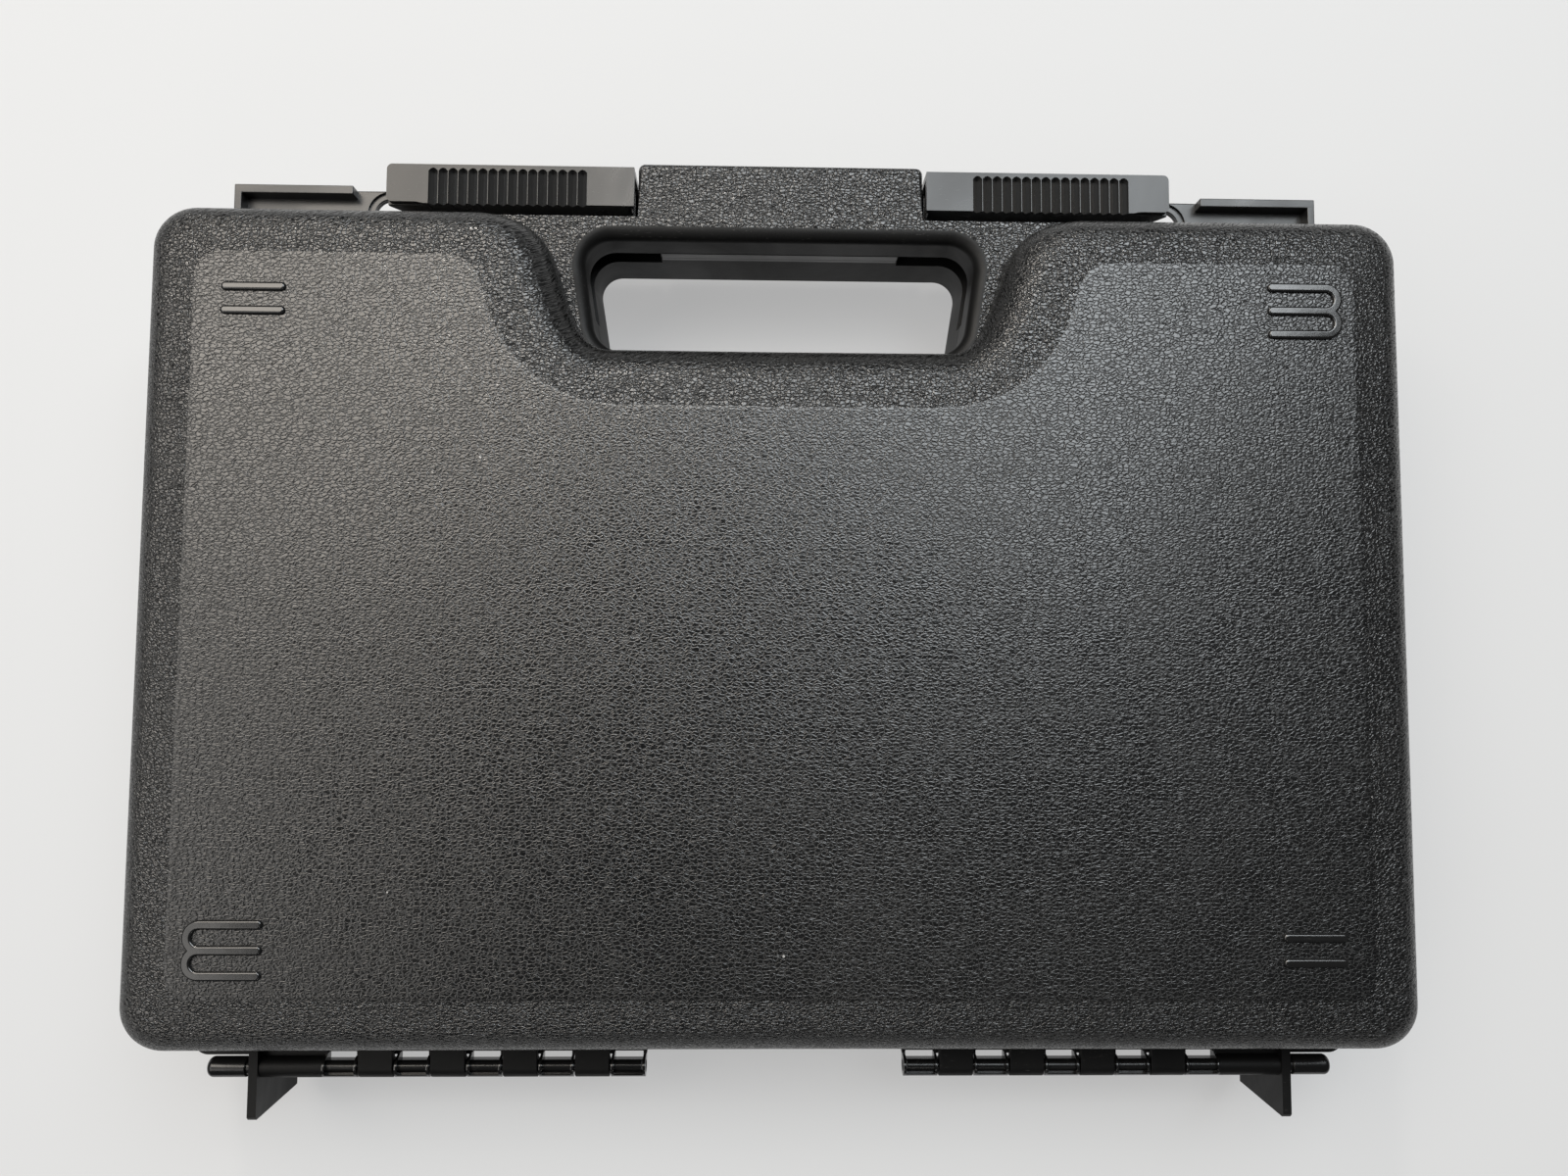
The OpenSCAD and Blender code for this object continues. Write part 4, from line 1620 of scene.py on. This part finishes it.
    def slant(self) -> Obj:
        """What the slanted outer end leaves free for a padlock."""
        drop, run, lean = self.z1 - self.plate_t - 0.5, 60.0, math.radians(self.cut_lean)
        return prism("Slant", [(self.x1, 0, drop), (self.x1 + 40, 0, drop), (self.x1 + 40, 0, -run),
                               (self.x1 - run * math.sin(lean), 0, drop - run * math.cos(lean))], (0, 200, 0))


@dataclass
class Padding:
    """Foam in the two shells.

    Attributes:
        body: The dish that it lies in.
        pad_t: Thickness of the flat pad.
        back: Distance of a pad's back from the parting plane.
        pocket_x: Half width of the laptop pocket.
        pocket_y0: Lower edge of the pocket.
        pocket_y1: Upper edge of the pocket.
        crate_t: Depth of the wavy pad.
        crate_back: Thickness of its solid part.
        cells: Peaks across and up.
        facets: Facets of a peak, each way.
        crate_in: Distance from the rims to the waves.
        margins: Distance from the rims to the base's pad and to the lid's.
        hole_r: Corner radius of the pocket.
        frame_in: Gap between the wall and the frame.
        frame_top: Gap between the frame and the parting plane.
        pad_gap: Gap between the frame and the flat pad.
    """

    body: CaseBody
    pad_t: float = 14.0
    back: float = 36.9
    pocket_x: float = 166.0
    pocket_y0: float = -124.5
    pocket_y1: float = 81.5
    crate_t: float = 20.0
    crate_back: float = 11.0
    cells: tuple[int, int] = (11, 6)
    facets: int = 16
    crate_in: float = 23.0
    margins: tuple[float, float] = (18.0, 19.0)
    hole_r: float = 5.0
    frame_in: float = 2.4
    frame_top: float = 1.5
    pad_gap: float = 0.4

    def field(self, side: float) -> Loop:
        """Outline of a pad near the flat face, with its corner cut-out for the recess."""
        b = self.body
        x, y, top = b.recess_x + 9, b.floor_y - b.recess_in - 2, b.ry - side
        half_x, r = b.rx - side, 4.0
        half = ([(0, -top)] + arc(half_x - r, -top + r, r, -90, 0, 8) + arc(half_x - r, top - r, r, 0, 90, 8)
                + arc(x + r, top - r, r, 90, 180, 8) + [(x, y), (0, y)])
        return both_sides(half)

    def base_pad(self) -> Obj:
        """The flat pad in the base."""
        pad = upright("Base pad", self.field(self.margins[0]), -self.back, -self.back + self.pad_t)
        soften(pad, 1.6, 4)
        return pad

    def pocket_frame(self) -> Obj:
        """The frame round the laptop."""
        outer = inset(self.body.rim(), self.body.wall + self.frame_in)
        z0, z1 = -self.back + self.pad_t + self.pad_gap, -self.frame_top
        pad = upright("Pocket frame", outer, z0, z1)
        r, x, y0, y1 = self.hole_r, self.pocket_x, self.pocket_y0, self.pocket_y1
        hole = (arc(x - r, y0 + r, r, -90, 0, 8) + arc(x - r, y1 - r, r, 0, 90, 8)
                + arc(-x + r, y1 - r, r, 90, 180, 8) + arc(-x + r, y0 + r, r, 180, 270, 8))
        pad = cut_out(pad, upright("Pocket", hole, z0 - 1, z1 + 1))
        soften(pad, 1.2, 3)
        return pad

    def lid_pad(self) -> Obj:
        """The wavy pad in the lid."""
        b = self.body
        slab = upright("Lid pad", self.field(self.margins[1]), self.back - self.crate_back, self.back)
        soften(slab, 1.2, 3)
        half_x = b.rx - self.crate_in
        y0, y1 = -b.ry + self.crate_in, b.floor_y - b.recess_in - 2
        clear()
        across, up = (n * self.facets for n in self.cells)
        bpy.ops.mesh.primitive_grid_add(x_subdivisions=across, y_subdivisions=up, size=1,
                                        location=(0, (y0 + y1) / 2, self.back - self.crate_back + 1))
        crate = fresh("Waves")
        bpy.ops.transform.resize(value=(2 * half_x, y1 - y0, 1))
        bpy.ops.object.transform_apply(location=True, rotation=True, scale=True)
        depth = self.crate_t - self.crate_back
        with editing(crate):
            bpy.ops.mesh.extrude_region_move(TRANSFORM_OT_translate={"value": (0, 0, -1.2)})
            mesh = bmesh.from_edit_mesh(crate.data)
            for v in (v for v in mesh.verts if v.select):
                u = (v.co.x + half_x) / (2 * half_x) * self.cells[0]
                w = (v.co.y - y0) / (y1 - y0) * self.cells[1]
                wave = math.sin(math.pi * u) ** 2 * math.sin(math.pi * w) ** 2
                v.co.z -= (depth - 0.3) * wave ** 0.8
            face_outwards()
        return gather("Lid pad", [slab, crate])


# The dressed case

@dataclass
class DressedCase:
    """All pieces of the case, built, dressed and set on their bodies.

    Attributes:
        place: The case's place in the part's frame.
        body: The dish of both shells.
        made: Names of the finished pieces.
    """

    place: Place = field(default_factory=Place)
    body: CaseBody = field(default_factory=CaseBody)
    made: list[str] = field(default_factory=list)

    def __post_init__(self) -> None:
        """Makes the finishes."""
        grain, marks = MouldGrain(), HandlingMarks()
        self.shell_slots = [GrainedPlastic().material(grain, marks),
                            SmoothPlastic("Satin black plastic", 0.014, 0.32, 0.6).material(marks),
                            SmoothPlastic("Glossy black plastic", 0.008, 0.17, 0.8, 0.00002).material(marks),
                            SmoothPlastic("Matte black plastic", 0.005, 0.5, 0.25, 0.00006).material(marks)]
        self.slider_finish = SmoothPlastic("Latch plastic", 0.013, 0.27, 0.46).material(marks)
        self.pin_finish = SmoothPlastic("Pin plastic", 0.009, 0.24, 0.5).material(marks)
        self.foam = OpenCellFoam().material()

    def deliver(self, obj: Obj, name: str, node: str, ride: str) -> None:
        """Names a piece, puts it on its body and hides the CAD node that it replaces.

        Args:
            obj: The finished mesh in the part's frame.
            name: Name of the piece.
            node: CAD node that it replaces.
            ride: Body that it moves with.
        """
        obj.name = name
        obj.data.name = name
        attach(obj, ride)
        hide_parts(node)
        self.made.append(name)
        log.info("%s: %d faces on %s", name, len(obj.data.polygons), ride)

    def shell(self, half: Half) -> None:
        """Builds one half shell."""
        parts = [self.body.build(self.shell_slots)]
        parts += Grip(self.body).build(half, self.shell_slots)
        parts += Tabs().build(half, self.shell_slots)
        parts += StackingRidges().build(half, self.shell_slots)
        parts += Hinge().build(half, self.shell_slots)
        shell = gather("Shell", parts)
        self.place.settle(shell, half)
        finish_piece(shell)
        ride = "lid" if half is Half.LID else "base"
        self.deliver(shell, f"{ride}_moulding", half.value, ride)

    def latch(self, side: Side) -> None:
        """Builds one latch."""
        slider = LatchSlider(side).build(self.slider_finish)
        self.place.settle(slider)
        finish_piece(slider, 34)
        word = side.name.lower()
        self.deliver(slider, f"latch_{word}_moulding", f"latch_slider_{word}", f"latch_{word}")

    def pin(self, side: Side) -> None:
        """Builds one hinge pin."""
        pin = HingePin(side, Hinge()).build(self.pin_finish)
        self.place.settle(pin)
        finish_piece(pin)
        word = side.name.lower()
        self.deliver(pin, f"pin_{word}_rod", f"hinge_pin_{word}", "base")

    def foams(self) -> None:
        """Builds the three foam pads."""
        padding = Padding(self.body)
        jobs = ((padding.base_pad(), "base_pad_foam", "base_pad", "base", 0.9),
                (padding.pocket_frame(), "pocket_frame_foam", "pocket_frame", "base", 0.9),
                (padding.lid_pad(), "lid_pad_foam", "lid_pad", "lid", 0.8))
        for obj, name, node, ride, fill in jobs:
            paint(obj, [self.foam])
            self.place.settle(obj)
            finish_piece(obj, 50)
            self.deliver(obj, name, node, ride)


@dataclass(frozen=True)
class Lamp:
    """A soft lamp.

    Attributes:
        name: Name of the lamp.
        place: Where it hangs, in metres.
        size: Width and height.
        power: Watts.
        colour: Colour of the light.
        aim: What it points at.
    """

    name: str
    place: tuple[float, float, float]
    size: tuple[float, float]
    power: float
    colour: tuple[float, float, float]
    aim: tuple[float, float, float] = (0.0, 0.0, 0.0)

    def hang(self) -> None:
        """Adds the lamp to the scene."""
        data = bpy.data.lights.new(self.name, "AREA")
        data.shape = "RECTANGLE"
        data.size, data.size_y = self.size
        data.energy = self.power
        data.color = self.colour
        lamp = bpy.data.objects.new(self.name, data)
        bpy.context.scene.collection.objects.link(lamp)
        lamp.location = self.place
        lamp.rotation_euler = (Vector(self.aim) - Vector(self.place)).to_track_quat("-Z", "Y").to_euler()


@dataclass
class Studio:
    """Pale floor, soft light and the camera at the photograph's angle.

    Attributes:
        lens: Focal length on a 36 mm sensor.
        eye: Camera place in metres.
        turn: Camera rotation in degrees.
        floor_size: Width of the floor in metres.
        floor_shade: Colour of the floor.
        glow: What the floor's plain part shows to the camera and in reflections.
        glow_share: Share of that part.
        sky: Colour of the surroundings.
        sky_power: Their strength.
        lamps: The lamps.
    """

    lens: float = 27.05
    eye: tuple[float, float, float] = (-0.00723, -0.01199, 0.44212)
    turn: tuple[float, float, float] = (4.1446, -1.3734, 0.3151)
    floor_size: float = 30.0
    floor_shade: tuple[float, float, float] = (0.62, 0.625, 0.63)
    glow: tuple[float, float, float, float] = (0.79, 0.79, 0.79, 1.0)
    glow_share: float = 0.5
    sky: tuple[float, float, float, float] = (0.9, 0.94, 1.0, 1.0)
    sky_power: float = 0.06
    lamps: tuple[Lamp, ...] = (
        Lamp("Window, left part", (-0.66, 0.78, 1.5), (1.1, 1.0), 19.5, (1.0, 0.93, 0.84), (-0.1, 0.15, 0.0)),
        Lamp("Window, right part", (0.40, 0.80, 1.5), (1.0, 1.0), 21.0, (0.92, 0.97, 1.0), (-0.1, 0.15, 0.0)),
        Lamp("Left window", (-1.14, -0.18, 1.3), (1.6, 0.8), 8.0, (1.0, 0.97, 0.93), (-0.1, 0.0, 0.0)),
        Lamp("Small lamp, back", (-0.35, 1.25, 1.25), (0.12, 0.12), 4.5, (1.0, 0.95, 0.88)),
        Lamp("Small lamp, front", (0.15, -1.1, 1.1), (0.1, 0.1), 0.4, (1.0, 0.97, 0.92)))

    def floor(self) -> None:
        """Adds the floor."""
        clear()
        bpy.ops.mesh.primitive_plane_add(size=self.floor_size, location=(0, 0, -0.0002))
        floor = fresh("floor")
        bpy.ops.object.transform_apply(location=True, rotation=True, scale=True)
        material, nodes, shader, where = new_material("Pale floor")
        soft = nodes.noise(where, 3.0, 2.0, 0.5)
        darker, lighter = (tuple(c * k for c in self.floor_shade) + (1.0,) for k in (1.0, 1.01))
        nodes.put(shader.inputs["Base Color"], nodes.blend(nodes.span(soft, 0.3, 0.7), darker, lighter))
        shader.inputs["Roughness"].default_value = 0.9
        shader.inputs["Specular IOR Level"].default_value = 0.1
        path = nodes.add("ShaderNodeLightPath")
        seen = nodes.sums("ADD", path.outputs["Is Camera Ray"], nodes.sums(
            "ADD", path.outputs["Is Glossy Ray"], path.outputs["Is Transmission Ray"]), clamp=True)
        glow = nodes.add("ShaderNodeEmission")
        glow.inputs["Color"].default_value = self.glow
        mix = nodes.add("ShaderNodeMixShader")
        nodes.put(mix.inputs[0], nodes.sums("MULTIPLY", seen, self.glow_share))
        nodes.put(mix.inputs[1], shader.outputs[0])
        nodes.put(mix.inputs[2], glow.outputs[0])
        nodes.put(material.node_tree.nodes["Material Output"].inputs["Surface"], mix.outputs[0])
        floor.data.materials.append(material)

    def camera(self) -> None:
        """Adds the camera."""
        data = bpy.data.cameras.new("Camera")
        data.lens = self.lens
        data.sensor_width = 36.0
        data.clip_start = 0.02
        camera = bpy.data.objects.new("Camera", data)
        bpy.context.scene.collection.objects.link(camera)
        camera.location = self.eye
        camera.rotation_euler = [math.radians(a) for a in self.turn]
        bpy.context.scene.camera = camera

    def build(self) -> None:
        """Sets up the floor, the light and the camera."""
        scene = bpy.context.scene
        scene.view_settings.view_transform = "Standard"
        world = bpy.data.worlds.new("Studio")
        world.use_nodes = True
        background = world.node_tree.nodes["Background"]
        background.inputs["Color"].default_value = self.sky
        background.inputs["Strength"].default_value = self.sky_power
        scene.world = world
        self.floor()
        for lamp in self.lamps:
            lamp.hang()
        self.camera()


def main() -> None:
    """Builds the case and the studio."""
    logging.basicConfig(level=logging.INFO, format="%(name)s %(message)s")
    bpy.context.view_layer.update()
    Studio().build()
    case = DressedCase()
    for half in Half:
        case.shell(half)
    for side in Side:
        case.latch(side)
        case.pin(side)
    case.foams()
    log.info("%d pieces", len(case.made))


if __name__ == "__main__":
    main()
